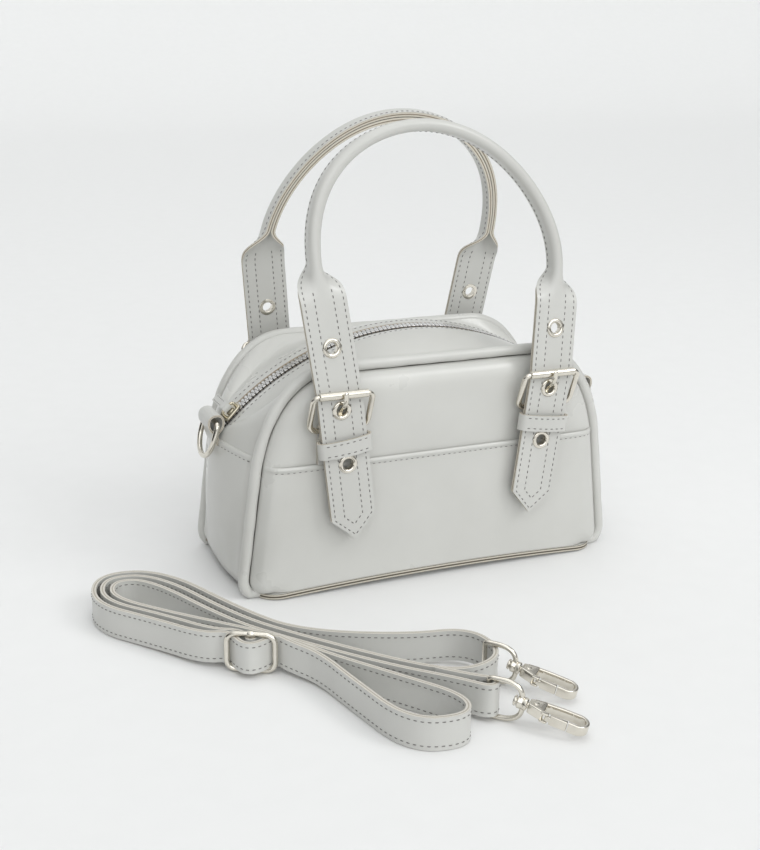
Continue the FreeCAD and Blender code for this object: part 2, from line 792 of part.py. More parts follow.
def build_rings():
    """A hanging D ring at each end, with the rolled leather tab that carries its bar."""
    pieces = []
    for name, side in (("left", -1), ("right", 1)):
        place = Vector(side * size("ring_span"), 0, size("ring_height"))
        ring = d_loop(f"{name}_d_ring", "sizes.ring_half", "sizes.ring_arm", "sizes.ring_wire")
        ring.Placement = Placement(place, Rotation(Y_AXIS, -side * size("ring_swing_angle")))
        half = "sizes.tab_half"
        roll = rod(f"{name}_tab_roll", "sizes.tab_roll", f"2 * {half}", Y_AXIS, "0", f"-{half}")
        seat = "(sizes.ring_span - sizes.gusset_half_shoulder - sizes.tab_stand)"
        stem = box(
            f"{name}_tab_stem",
            (f"-({seat})", f"sizes.tab_stem - {seat}"),
            ("-sizes.tab_half", "sizes.tab_half"),
            ("sizes.tab_foot - sizes.ring_height", "0"),
        )
        bore = rod(
            f"{name}_tab_bore",
            "sizes.ring_wire + sizes.ring_slip",
            "4 * sizes.tab_half",
            Y_AXIS,
            "0",
            "-2 * sizes.tab_half",
        )
        tab = cut(f"{name}_ring_tab", fuse(f"{name}_tab_blank", [roll, stem]), bore)
        turn = Rotation(Z_AXIS, HALF_TURN if side < 0 else 0)
        tab.Placement = Placement(place, turn)
        pieces += [ring, tab]
    return pieces


CORNERS = (("front", "left"), ("front", "right"), ("back", "left"), ("back", "right"))


def corner_frame(face, hand):
    """The turn that brings a piece drawn at the front to its face, and its side there."""
    side = -1 if hand == "left" else 1
    if face == "front":
        return Placement(), side
    return Placement(ORIGIN, Rotation(Z_AXIS, HALF_TURN)), -side


def leg_frame(face, hand):
    """The frame of one strap leg: origin on its middle at roller height, Z up along the leg."""
    turn, side = corner_frame(face, hand)
    place = Vector(side * size("leg_span"), -value(STRAP_DEPTH), size("roller_height"))
    return turn.multiply(Placement(place, Rotation(Y_AXIS, side * size("leg_slant_angle"))))


def along_leg(drop):
    """The distance along a slanted leg for a distance straight down."""
    return f"(({drop}) / cos(sizes.leg_slant_angle))"


def eyelet(label, frame, back_flange):
    """A pressed eyelet: a barrel through the strap with a flange in front and one behind."""
    body = new_body(label)
    sketch = new_sketch(body, "XY_Plane", f"{label}_profile")
    half = "(sizes.strap_ply / 2)"
    front = f"-({half} + sizes.eyelet_flange)"
    corners = [
        ("sizes.eyelet_bore", front),
        ("sizes.eyelet_radius", front),
        ("sizes.eyelet_radius", f"-{half}"),
        (BARREL_RADIUS, f"-{half}"),
    ]
    if back_flange:
        back = f"({half} + sizes.eyelet_flange)"
        corners += [
            (BARREL_RADIUS, half),
            ("sizes.eyelet_radius", half),
            ("sizes.eyelet_radius", back),
            ("sizes.eyelet_bore", back),
        ]
    else:
        corners += [(BARREL_RADIUS, half), ("sizes.eyelet_bore", half)]
    draw_polygon(sketch, corners)
    spin = body.newObject("PartDesign::Revolution", f"{label}_turned")
    spin.Profile = sketch
    spin.ReferenceAxis = (sketch, ["V_Axis"])
    spin.Angle = FULL_TURN
    sketch.Visibility = False
    body.Placement = frame
    return body


def strap_tail(label, frame, side):
    """The strap's end below the roller: level at the top, pointed at the foot, with two holes."""
    body = new_body(label)
    sketch = new_sketch(body, "XZ_Plane", f"{label}_outline")
    top = f"-{along_leg('sizes.tail_drop')}"
    tip = f"-{along_leg('sizes.tail_reach')}"
    skew = f"{side} * sizes.strap_half * tan(sizes.leg_slant_angle)"
    corners = [
        ("-sizes.strap_half", f"{top} - {skew}"),
        ("sizes.strap_half", f"{top} + {skew}"),
        ("sizes.strap_half", f"{tip} + sizes.strap_half"),
        ("0", tip),
        ("-sizes.strap_half", f"{tip} + sizes.strap_half"),
    ]
    draw_polygon(sketch, corners)
    pad_both_ways(body, sketch, "sizes.strap_ply")
    holes = new_sketch(body, "XZ_Plane", f"{label}_holes")
    for drop in ("sizes.prong_hole_drop", "sizes.lower_hole_drop"):
        draw_circle(holes, "0", f"-{along_leg(drop)}", STRAP_HOLE)
    pocket_through(body, holes)
    body.Placement = frame
    return body


def keeper(label, frame):
    """A leather loop round the strap below the buckle."""
    inner_half = "(sizes.strap_half + sizes.keeper_side_fit)"
    inner_deep = "(sizes.strap_ply / 2 + sizes.keeper_face_fit)"
    outer_half = f"({inner_half} + sizes.keeper_wall)"
    outer_deep = f"({inner_deep} + sizes.keeper_wall)"
    body = new_body(label)
    sketch = new_sketch(body, "XY_Plane", f"{label}_section")
    for half, deep in ((outer_half, outer_deep), (inner_half, inner_deep)):
        draw_polygon(
            sketch,
            [(f"-{half}", f"-{deep}"), (half, f"-{deep}"), (half, deep), (f"-{half}", deep)],
        )
    pad_both_ways(body, sketch, "sizes.keeper_tall")
    drop = Placement(Vector(0, 0, -value(along_leg("sizes.keeper_drop"))), STRAIGHT)
    body.Placement = frame.multiply(drop)
    return body


def build_strap_ends():
    """Tails, keepers and the eyelets in the tails, one set at each buckle."""
    pieces = []
    eyelets = []
    keepers = []
    for face, hand in CORNERS:
        frame = leg_frame(face, hand)
        turn, side = corner_frame(face, hand)
        pieces.append(strap_tail(f"{face}_{hand}_strap_end", frame, side))
        keepers.append(keeper(f"{face}_{hand}_keeper", frame))
        for name, drop in (("prong", "sizes.prong_hole_drop"), ("lower", "sizes.lower_hole_drop")):
            place = Placement(Vector(0, 0, -value(along_leg(drop))), STRAIGHT)
            eyelets.append(eyelet(f"{face}_{hand}_{name}_eyelet", frame.multiply(place), False))
    return pieces + [group("strap_keepers", keepers), group("strap_end_eyelets", eyelets)]


def wire_frame(label, half, long):
    """A rectangular wire loop: one bar through the origin along X, the other a length below it."""
    wire = "sizes.frame_wire"
    low = f"-({long})"
    parts = [
        rod(f"{label}_top", wire, f"2 * {half}", X_AXIS, f"-{half}", "0", "0"),
        rod(f"{label}_foot", wire, f"2 * {half}", X_AXIS, f"-{half}", "0", low),
    ]
    for side, name in ((-1, "left"), (1, "right")):
        parts.append(rod(f"{label}_{name}", wire, long, Z_AXIS, f"{side} * {half}", "0", low))
        for end, height in (("top", 0), ("foot", -value(long))):
            parts.append(ball(f"{label}_{name}_{end}", wire, Vector(side * value(half), 0, height)))
    return fuse(label, parts)


def build_buckle(face, hand):
    """One roller buckle: frame, roller, prong and the folded chape that holds it to the panel."""
    name = f"{face}_{hand}"
    turn, side = corner_frame(face, hand)
    centre = side * value(BUCKLE_SPAN)
    roller_place = Vector(centre, -value(ROLLER_DEPTH), size("roller_height"))
    bar_place = Vector(centre, -value(BAR_DEPTH), value(BAR_HEIGHT))

    frame = wire_frame(f"{name}_buckle_frame", "sizes.frame_half", FRAME_LONG)
    frame.Placement = turn.multiply(Placement(roller_place, Rotation(-Z_AXIS, bar_place - roller_place)))

    half = "sizes.roller_half"
    sleeve = rod(f"{name}_sleeve", "sizes.roller_radius", f"2 * {half}", X_AXIS, f"-{half}")
    bore = rod(f"{name}_bore", "sizes.roller_bore", f"4 * {half}", X_AXIS, f"-2 * {half}")
    roller = cut(f"{name}_roller", sleeve, bore)
    roller.Placement = turn.multiply(Placement(roller_place, STRAIGHT))

    chape = folded_chape(name)
    chape.Placement = turn.multiply(Placement(bar_place, STRAIGHT))
    prong = bent_prong(name)
    prong.Placement = turn.multiply(Placement(bar_place, STRAIGHT))
    return [frame, roller, prong, chape]


def folded_chape(name):
    """A leather tab folded round the lower bar and sewn flat to the panel, slotted for the prong."""
    across = ("-sizes.chape_half", "sizes.chape_half")
    fold = rod(f"{name}_fold", CHAPE_RADIUS, "2 * sizes.chape_half", X_AXIS, "-sizes.chape_half")
    seat = f"({BAR_DEPTH} - sizes.panel_face - sizes.seam_gap)"
    foot = f"(sizes.seam_height + sizes.seam_gap - {BAR_HEIGHT})"
    stem = box(f"{name}_stem", across, (f"{seat} - sizes.chape_stem", seat), (foot, "0"))
    bore = rod(
        f"{name}_chape_bore",
        "sizes.frame_wire + sizes.prong_slip",
        "4 * sizes.chape_half",
        X_AXIS,
        "-2 * sizes.chape_half",
    )
    slot = box(
        f"{name}_slot",
        ("-sizes.chape_slot_half", "sizes.chape_slot_half"),
        ("-2 * sizes.chape_slot_deep", "2 * sizes.chape_slot_deep"),
        ("-sizes.chape_slot_deep", "sizes.chape_slot_deep"),
    )
    blank = fuse(f"{name}_chape_blank", [fold, stem])
    return cut(f"{name}_chape", blank, fuse(f"{name}_chape_cuts", [bore, slot]))


def bent_prong(name):
    """The prong: a loop round the lower bar, a rise behind the strap, a leg through the eyelet."""
    radius = "sizes.prong_radius"
    loop = value(PRONG_LOOP)
    pierce = Vector(
        0,
        value(BAR_DEPTH) - value(STRAP_DEPTH),
        size("frame_fall") - size("prong_hole_drop"),
    )
    angle = math.radians(size("prong_angle"))
    along = Vector(0, -math.sin(angle), math.cos(angle))
    knee = pierce + along * ((-loop - pierce.y) / along.y)
    bend = pierce + along * size("prong_reach")
    tip_angle = math.radians(size("prong_tip_angle"))
    tip = bend + Vector(0, -math.sin(tip_angle), math.cos(tip_angle)) * size("prong_tip")
    stops = [Vector(0, -loop, 0), knee, bend, tip]
    loop_outer = f"({PRONG_LOOP} + {radius})"
    blank = rod(f"{name}_prong_loop", loop_outer, f"2 * {radius}", X_AXIS, f"-{radius}")
    eye = rod(f"{name}_prong_eye", f"({PRONG_LOOP} - {radius})", f"4 * {radius}", X_AXIS, f"-2 * {radius}")
    parts = [cut(f"{name}_prong_ring", blank, eye)]
    for number, (start, end) in enumerate(zip(stops, stops[1:])):
        parts.append(rod_between(f"{name}_prong_leg_{number}", radius, start, end))
        parts.append(ball(f"{name}_prong_bend_{number}", radius, end))
    return fuse(f"{name}_prong", parts)


def leg_middle(rise):
    """The X expression of a handle leg's middle at a rise above the roller."""
    return f"(sizes.leg_span + ({rise}) * tan(sizes.leg_slant_angle))"


def build_handle(face):
    """A handle: the folded grip over one arc, both flat legs and an eyelet in each leg."""
    label = f"{face}_handle"
    body = new_body(label)
    section = new_sketch(body, "YZ_Plane", f"{label}_section")
    outer = f"({ROLLER_TO_STRAP} - sizes.strap_ply / 2)"
    inner = f"({outer} + sizes.grip_deep)"
    low = "(sizes.handle_rise - sizes.grip_thick / 2)"
    high = "(sizes.handle_rise + sizes.grip_thick / 2)"
    draw_polygon(section, [(outer, low), (inner, low), (inner, high), (outer, high)])
    reach = value(ARCH_RADIUS)
    middle = section.addGeometry(
        Part.LineSegment(Vector(0, value(ARCH_CENTRE), 0), Vector(reach, value(ARCH_CENTRE), 0)), True
    )
    pin_point(section, middle, 1, "0", ARCH_CENTRE)
    pin_point(section, middle, 2, ARCH_RADIUS, ARCH_CENTRE)
    grip = body.newObject("PartDesign::Revolution", f"{label}_grip")
    grip.Profile = section
    grip.ReferenceAxis = (section, ["Axis0"])
    grip.Midplane = True
    grip.setExpression("Angle", f"{HALF_TURN} + 2 * sizes.leg_slant_angle")
    section.Visibility = False

    legs = new_sketch(body, "XZ_Plane", f"{label}_legs")
    holes = new_sketch(body, "XZ_Plane", f"{label}_holes")
    stations = (
        ("sizes.leg_start", STRAP_HALF_ACROSS),
        (f"({ARCH_START} - sizes.shoulder_drop)", STRAP_HALF_ACROSS),
        (f"({ARCH_START} + sizes.neck_lap)", "sizes.neck_half"),
    )
    for side in (-1, 1):
        going_up = [(f"{side} * ({leg_middle(rise)} + {half})", rise) for rise, half in stations]
        coming_down = [(f"{side} * ({leg_middle(rise)} - {half})", rise) for rise, half in stations]
        draw_polygon(legs, going_up + coming_down[::-1])
        middle_of_hole = f"{side} * {leg_middle('sizes.upper_hole_rise')}"
        draw_circle(holes, middle_of_hole, "sizes.upper_hole_rise", STRAP_HOLE)
    legs.AttachmentOffset = Placement(Vector(0, 0, -value(ROLLER_TO_STRAP)), STRAIGHT)
    legs.setExpression("AttachmentOffset.Base.z", f"-{ROLLER_TO_STRAP}")
    pad_both_ways(body, legs, "sizes.strap_ply")
    pocket_through(body, holes)

    turn, side = corner_frame(face, "left")
    axis_place = Vector(0, -value(ROLLER_DEPTH), size("roller_height"))
    lean = Placement(axis_place, Rotation(X_AXIS, -size("handle_lean_angle")))
    body.Placement = turn.multiply(lean)

    eyelets = []
    for hand, side in (("left", -1), ("right", 1)):
        rise = size("upper_hole_rise")
        across = side * value(leg_middle("sizes.upper_hole_rise"))
        place = Placement(Vector(across, value(ROLLER_TO_STRAP), rise), STRAIGHT)
        eyelets.append(eyelet(f"{face}_{hand}_upper_eyelet", body.Placement.multiply(place), True))
    return [body, group(f"{face}_handle_eyelets", eyelets)]


def rounded_route(points, share, height):
    """A wire of straight runs joined by tangent arcs through turning points, and the arcs' radii."""
    stops = [Vector(x, y, height) for x, y in points]
    edges = []
    radii = []
    here = stops[0]
    for before, corner, after in zip(stops, stops[1:], stops[2:]):
        into = (corner - before).normalize()
        out = (after - corner).normalize()
        turn = into.getAngle(out)
        run = share * min((corner - before).Length, (after - corner).Length)
        start, end = corner - into * run, corner + out * run
        radius = run / math.tan(turn / 2)
        inward = (out - into).normalize()
        middle = corner + inward * radius * (1 / math.cos(turn / 2) - 1)
        edges.append(Part.makeLine(here, start))
        edges.append(Part.Arc(start, middle, end).toShape())
        radii.append(radius)
        here = end
    edges.append(Part.makeLine(here, stops[-1]))
    return Part.Wire(edges), radii


def build_band():
    """The shoulder strap's flat band, standing on its edge along the route, looped on the adjuster."""
    path, radii = rounded_route(STRAP_ROUTE, ROUTE_TURN_SHARE, size("band_floor"))
    start = path.Edges[0].valueAt(path.Edges[0].FirstParameter)
    along = path.Edges[0].tangentAt(path.Edges[0].FirstParameter)
    aside = Z_AXIS.cross(along) * (size("band_thick") / 2)
    up = Z_AXIS * size("band_wide")
    corners = [start - aside, start + aside, start + aside + up, start - aside + up, start - aside]
    sweep = Part.BRepOffsetAPI.MakePipeShell(path)
    sweep.setBiNormalMode(Z_AXIS)
    sweep.add(Part.makePolygon(corners))
    sweep.build()
    sweep.makeSolid()
    bore = size("fitting_wire") + size("loop_slip")
    place = Vector(ADJUSTER_PLACE[0], ADJUSTER_PLACE[1], size("band_floor"))
    loop = Part.makeCylinder(bore + size("band_thick") / 2, size("band_wide"), place)
    band = sweep.shape().fuse(loop).cut(Part.makeCylinder(bore, size("band_wide"), place))
    print(f"shoulder strap: length {path.Length:.1f}, smallest bend radius {min(radii):.2f}")
    print("shoulder strap bend radii:", ", ".join(f"{radius:.1f}" for radius in radii))
    return shaped("shoulder_strap", band)


def build_adjuster():
    """The strap adjuster: a standing wire frame with a middle bar."""
    wire = "sizes.fitting_wire"
    half = "sizes.adjuster_half"
    parts = []
    for name, x in (("left", f"-{half}"), ("middle", "0"), ("right", half)):
        parts.append(rod(f"adjuster_{name}", wire, f"2 * {EYE_HALF}", Z_AXIS, x, "0", f"-{EYE_HALF}"))
    for name, side in (("low", -1), ("high", 1)):
        level = f"{side} * {EYE_HALF}"
        parts.append(rod(f"adjuster_{name}", wire, f"2 * {half}", X_AXIS, f"-{half}", "0", level))
        for hand, end in (("left", -1), ("right", 1)):
            place = Vector(end * value(half), 0, value(level))
            parts.append(ball(f"adjuster_{name}_{hand}_bend", wire, place))
    adjuster = fuse("strap_adjuster", parts)
    place = Vector(ADJUSTER_PLACE[0], ADJUSTER_PLACE[1], value(BAND_MIDDLE))
    adjuster.Placement = Placement(place, Rotation(Z_AXIS, ADJUSTER_TURN))
    return adjuster


def build_hook(name, place, turn):
    """A snap hook: a D eye with a collar, the body that swivels in it and the sprung gate."""
    standing = Placement(Vector(place[0], place[1], value(BAND_MIDDLE)), Rotation(Z_AXIS, turn))
    tilted = Placement(Vector(value(COLLAR_PLACE), 0, 0), Rotation(Y_AXIS, size("hook_tilt_angle")))
    # The loop is drawn with its bar along Y and its bow down. Here the bar stands, the bow ahead.
    ahead = Placement(ORIGIN, Rotation(-Y_AXIS, Z_AXIS, -X_AXIS, "XYZ"))

    loop = d_loop(f"{name}_eye_wire", EYE_HALF, "sizes.eye_arm", "sizes.fitting_wire")
    loop.Placement = ahead
    long = "sizes.collar_long"
    collar = rod(f"{name}_collar", "sizes.collar_radius", long, X_AXIS, f"-{long} / 2")
    bore_radius = "sizes.stud_radius + sizes.stud_slip"
    bore = rod(f"{name}_collar_bore", bore_radius, f"4 * {long}", X_AXIS, f"-2 * {long}")
    blank = fuse(f"{name}_eye_blank", [loop, placed(f"{name}_collar_place", [collar], tilted)])
    eye = cut(f"{name}_eye", blank, placed(f"{name}_bore_place", [bore], tilted))
    eye.Placement = standing

    body = hook_body(name)
    gate = hook_gate(name)
    for piece in (body, gate):
        piece.Placement = standing.multiply(tilted)
    return [eye, body, gate]


def hook_body(name):
    """The swivelling part: headed stud, housing with two ears and a pin, and the round hook."""
    head_start = "-(sizes.collar_long / 2 + sizes.hook_gap + sizes.stud_head_long)"
    stud_long = f"({HOUSING_START} + sizes.ear_ply - ({head_start}))"
    housing_end = f"({HOUSING_START} + sizes.housing_long)"
    tall = ("-sizes.housing_half_tall", "sizes.housing_half_tall")
    across = ("-sizes.housing_half", "sizes.housing_half")
    arm_start = f"({housing_end} - sizes.hook_arm)"
    arm_long = f"(sizes.hook_bend - {arm_start})"
    parts = [
        rod(f"{name}_stud", "sizes.stud_radius", stud_long, X_AXIS, head_start),
        rod(f"{name}_stud_head", "sizes.stud_head", "sizes.stud_head_long", X_AXIS, head_start),
        box(f"{name}_housing", (HOUSING_START, housing_end), across, tall),
        rod(f"{name}_arm", "sizes.hook_arm", arm_long, X_AXIS, arm_start, "sizes.hook_half"),
        rod(f"{name}_nose", "sizes.hook_arm", "sizes.hook_nose", X_AXIS, NOSE_END, "-sizes.hook_half"),
    ]
    bow = doc.addObject("Part::Torus", f"{name}_bow")
    bind(bow, Radius1="sizes.hook_half", Radius2="sizes.hook_arm")
    bow.Angle3 = HALF_TURN
    bow.Placement = Placement(ORIGIN, Rotation(Z_AXIS, -QUARTER_TURN))
    parts.append(slide_to(bow, "sizes.hook_bend"))
    ear_side = ("-sizes.hook_half - sizes.hook_arm", "sizes.hook_arm - sizes.hook_half")
    ear_along = (f"{housing_end} - sizes.ear_ply", "sizes.gate_pivot + sizes.ear_long / 2")
    for ear, low, high in (
        ("lower", "-sizes.housing_half_tall", "sizes.ear_ply - sizes.housing_half_tall"),
        ("upper", "sizes.housing_half_tall - sizes.ear_ply", "sizes.housing_half_tall"),
    ):
        parts.append(box(f"{name}_{ear}_ear", ear_along, ear_side, (low, high)))
    room = "(sizes.gate_half_tall + sizes.gate_slip)"
    root = "(sizes.gate_pivot - 2 * sizes.gate_half - sizes.gate_slip)"
    pocket = box(
        f"{name}_pocket",
        (root, "sizes.gate_pivot + sizes.ear_long"),
        ("-2 * sizes.hook_half", "2 * sizes.gate_half + sizes.gate_slip - sizes.hook_half"),
        (f"-{room}", room),
    )
    carved = cut(f"{name}_carved", fuse(f"{name}_blank", parts), pocket)
    pin = rod(
        f"{name}_pin",
        "sizes.gate_pin",
        "2 * sizes.housing_half_tall",
        Z_AXIS,
        "sizes.gate_pivot",
        "-sizes.hook_half",
        "-sizes.housing_half_tall",
    )
    return fuse(f"{name}_body", [carved, pin])


def hook_gate(name):
    """The gate: a bar from its pivot to the hook's nose."""
    tall = ("-sizes.gate_half_tall", "sizes.gate_half_tall")
    side = ("-sizes.hook_half - sizes.gate_half", "sizes.gate_half - sizes.hook_half")
    bar = box(f"{name}_gate_bar", ("sizes.gate_pivot", f"{NOSE_END} - sizes.gate_gap"), side, tall)
    root = rod(
        f"{name}_gate_root",
        "sizes.gate_half + sizes.gate_slip",
        "2 * sizes.gate_half_tall",
        Z_AXIS,
        "sizes.gate_pivot",
        "-sizes.hook_half",
        "-sizes.gate_half_tall",
    )
    hole = rod(
        f"{name}_gate_hole",
        "sizes.gate_pin + sizes.gate_slip / 2",
        "4 * sizes.gate_half_tall",
        Z_AXIS,
        "sizes.gate_pivot",
        "-sizes.hook_half",
        "-2 * sizes.gate_half_tall",
    )
    return cut(f"{name}_gate", fuse(f"{name}_gate_blank", [bar, root]), hole)


def build_all():
    """Every piece of the bag, in the order in which it would be put together."""
    pieces = build_panels() + build_gussets() + build_piping() + build_base() + build_lining()
    pieces += build_zip() + build_rings() + build_strap_ends()
    for face, hand in CORNERS:
        pieces += build_buckle(face, hand)
    pieces += build_handle("front") + build_handle("back")
    pieces += [build_band(), build_adjuster()]
    pieces += build_hook("rear_hook", REAR_HOOK_PLACE, REAR_HOOK_TURN)
    pieces += build_hook("front_hook", FRONT_HOOK_PLACE, FRONT_HOOK_TURN)
    return pieces


def check(pieces):
    """Stop when any feature failed or any piece has no valid solid."""
    faults = []
    for feature in doc.Objects:
        if "Invalid" in feature.State or "Error" in feature.State:
            faults.append(f"{feature.Label}: {feature.State}")
    for piece in pieces:
        if piece.Shape.isNull() or not piece.Shape.isValid() or not piece.Shape.Solids:
            faults.append(f"{piece.Label}: no valid solid")
    if faults:
        raise RuntimeError("; ".join(faults))


def export(pieces):
    """Write each piece to its own file, named after its label."""
    os.makedirs("parts", exist_ok=True)
    for piece in pieces:
        piece.Shape.exportStep(f"parts/{piece.Label}.step")


PIECES = build_all()
doc.recompute()
check(PIECES)
export(PIECES)
print(f"{len(PIECES)} nodes, roller axis y {-value(ROLLER_DEPTH):.3f}, z {size('roller_height'):.3f}")
print(f"lower bar y {-value(BAR_DEPTH):.3f}, z {value(BAR_HEIGHT):.3f}")
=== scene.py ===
"""Dress the top handle bag in leather, raw edges, stitching and nickel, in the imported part's own frame.

Lengths in the classes are in millimetres and become metres when a piece is made. X points right, Y to
the back and Z up, with the middle of the underside at the origin. A back piece is a front piece turned
half way round the Z axis.
"""

import logging
import math
from dataclasses import dataclass, replace
from enum import Enum
from typing import Sequence

import bmesh
import bpy
import numpy as np
from mathutils import Matrix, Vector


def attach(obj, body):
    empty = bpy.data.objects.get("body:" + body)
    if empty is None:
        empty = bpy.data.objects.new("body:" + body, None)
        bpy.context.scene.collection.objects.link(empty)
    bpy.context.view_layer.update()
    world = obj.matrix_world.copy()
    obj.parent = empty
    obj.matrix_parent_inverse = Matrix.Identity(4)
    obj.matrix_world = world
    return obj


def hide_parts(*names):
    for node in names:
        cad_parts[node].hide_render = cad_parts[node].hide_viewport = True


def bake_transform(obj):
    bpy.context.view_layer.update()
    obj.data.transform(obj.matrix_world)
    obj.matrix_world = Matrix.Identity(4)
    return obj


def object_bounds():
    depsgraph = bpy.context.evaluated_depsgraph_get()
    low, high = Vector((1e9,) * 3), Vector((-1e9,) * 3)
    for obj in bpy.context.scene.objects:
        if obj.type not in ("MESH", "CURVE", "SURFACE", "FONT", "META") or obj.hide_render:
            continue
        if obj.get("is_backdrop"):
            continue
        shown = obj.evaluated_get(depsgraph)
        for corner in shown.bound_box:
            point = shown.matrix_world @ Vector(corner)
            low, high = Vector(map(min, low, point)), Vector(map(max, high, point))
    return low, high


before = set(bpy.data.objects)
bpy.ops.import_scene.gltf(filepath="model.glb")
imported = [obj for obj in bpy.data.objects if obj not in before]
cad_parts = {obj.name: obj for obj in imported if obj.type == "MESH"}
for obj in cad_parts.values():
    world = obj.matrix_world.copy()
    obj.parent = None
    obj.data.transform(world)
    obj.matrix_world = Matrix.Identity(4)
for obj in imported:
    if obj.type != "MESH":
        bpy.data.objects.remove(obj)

Array = np.ndarray
Colour = tuple[float, float, float]
Pair = tuple[float, float]
Socket = bpy.types.NodeSocket
Piece = bpy.types.Object
MM = 0.001
CAD_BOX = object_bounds()
LOG = logging.getLogger("top_handle_bag")
X_AXIS = np.array([1.0, 0.0, 0.0])
Y_AXIS = np.array([0.0, 1.0, 0.0])
Z_AXIS = np.array([0.0, 0.0, 1.0])
# The axes of a piece that is turned about X.
ROUND_X = np.stack([Y_AXIS, Z_AXIS, X_AXIS])
# The two sides of a middle line.
SIDES = (-1.0, 1.0)
# Keeps a vector from having no length.
TINY = 1e-12
# Points closer than this, in metres, become one.
WELD_GAP = 1e-6
# How far a rim swells, as a share of a half circle.
RIM_BULGE = 0.6
# How far a row of stitches is laid off its leather.
SEAM_GAP = 0.02


class Face(Enum):
    """The two faces of the bag."""

    FRONT = "front"
    BACK = "back"


class Hand(Enum):
    """The two ends of the bag, as seen from its front."""

    LEFT = "left"
    RIGHT = "right"


def unit(vectors: Array) -> Array:
    """Vectors of length one along the last axis."""
    return vectors / np.linalg.norm(vectors, axis=-1, keepdims=True)


def smooth(share: Array | float) -> Array:
    """Smooth step from 0 to 1 with level ends."""
    held = np.clip(share, 0.0, 1.0)
    return held * held * (3.0 - 2.0 * held)


def run_along(path: Array) -> Array:
    """Running length at each point of a path."""
    steps = np.linalg.norm(np.diff(path, axis=0), axis=1)
    return np.concatenate(([0.0], np.cumsum(steps)))


def at_runs(path: Array, marks: Array) -> Array:
    """Points of a path at given running lengths."""
    run = run_along(path)
    return np.stack([np.interp(marks, run, path[:, k]) for k in range(path.shape[1])], axis=-1)


def resampled(path: Array, count: int) -> Array:
    """Evenly spaced points from one end of a path to the other."""
    return at_runs(path, np.linspace(0.0, run_along(path)[-1], count))


def resampled_loop(outline: Array, count: int) -> Array:
    """Evenly spaced points round a closed outline."""
    closed = np.concatenate([outline, outline[:1]])
    return at_runs(closed, np.linspace(0.0, run_along(closed)[-1], count, endpoint=False))


def both_halves(half: Array) -> Array:
    """A half line and its mirror image in the first axis, joined at its last point."""
    other = half[::-1][1:].copy()
    other[:, 0] *= -1.0
    return np.concatenate([half, other])


def pointed_ends(rings: Array) -> Array:
    """Rings of points with both ends drawn to a point in their middle."""
    first, last = (np.broadcast_to(rings[k].mean(axis=0), rings[k].shape)[None] for k in (0, -1))
    return np.concatenate([first, rings, last])


def full_turn(count: int) -> Array:
    """Angles at even steps round a circle."""
    return np.linspace(0.0, 2 * math.pi, count, endpoint=False)


def softened(corners: Sequence[Sequence[float]], rounds: int = 3) -> Array:
    """A wire with its corners cut: each round keeps a quarter and three quarters of every run."""
    path = np.array(corners, float)
    for _ in range(rounds):
        before, after = path[:-1], path[1:]
        cut = np.stack([0.75 * before + 0.25 * after, 0.25 * before + 0.75 * after], axis=1)
        path = np.concatenate([path[:1], cut.reshape(-1, path.shape[1]), path[-1:]])
    return path


def bezier(start: Array, near_start: Array, near_end: Array, end: Array, count: int) -> Array:
    """Points of a cubic curve with two handles, both ends included."""
    t = np.linspace(0.0, 1.0, count)[:, None]
    s = 1.0 - t
    return s**3 * start + 3 * s * s * t * near_start + 3 * s * t * t * near_end + t**3 * end


def outward(points: Array, centre: Array) -> Array:
    """Unit normals of a grid of points, all on the side away from a centre."""
    normals = unit(np.cross(np.gradient(points, axis=0), np.gradient(points, axis=1)) + TINY)
    return normals * np.sign(np.mean(np.sum(normals * (points - centre), axis=-1)))


def rounded_rectangle(
    half_x: float, half_y: float, radius: float | Sequence[float], steps: int = 7
) -> Array:
    """Closed outline of a rectangle with quarter-circle corners, anticlockwise from the upper right one."""
    turn = np.linspace(0.0, math.pi / 2, steps)
    angle = (turn[None, :] + np.arange(4)[:, None] * math.pi / 2).reshape(-1)
    signs = np.repeat(np.array([[1, 1], [-1, 1], [-1, -1], [1, -1]], float), steps, axis=0)
    bend = np.repeat(np.broadcast_to(radius, 4), steps)[:, None]
    middles = signs * (np.array([half_x, half_y]) - bend)
    return middles + bend * np.stack([np.cos(angle), np.sin(angle)], axis=1)


def d_outline(half: float, arm: float, corner: float) -> Array:
    """Closed outline of a D: a bar on the second axis, rounded into two arms that end in a half circle."""
    half_turn = np.linspace(-math.pi / 2, math.pi / 2, 40)
    quarter = np.linspace(0.0, math.pi / 2, 7)
    bow = np.stack([arm + half * np.cos(half_turn), half * np.sin(half_turn)], axis=1)
    high = corner * np.stack([1 - np.sin(quarter), np.cos(quarter) - 1], axis=1) + np.array([0.0, half])
    low = corner * np.stack([1 - np.cos(quarter), 1 - np.sin(quarter)], axis=1) - np.array([0.0, half])
    return np.concatenate([bow, high, low])


@dataclass(frozen=True)
class Place:
    """A local frame: its origin and its three axes as rows."""

    origin: Array
    axes: Array

    def world(self, local: Array) -> Array:
        """Local points in the bag's frame."""
        return self.origin + local @ self.axes

    def then(self, inner: "Place") -> "Place":
        """The frame that is drawn inside this one."""
        return Place(self.world(inner.origin), inner.axes @ self.axes)


def turned_place(origin: Sequence[float], axis: int, degrees: float) -> Place:
    """A frame turned about one of the bag's axes, counted from 0."""
    c, s = math.cos(math.radians(degrees)), math.sin(math.radians(degrees))
    first, second = (axis + 1) % 3, (axis + 2) % 3
    axes = np.eye(3)
    axes[first, first], axes[first, second] = c, s
    axes[second, first], axes[second, second] = -s, c
    return Place(np.array(origin, float), axes)


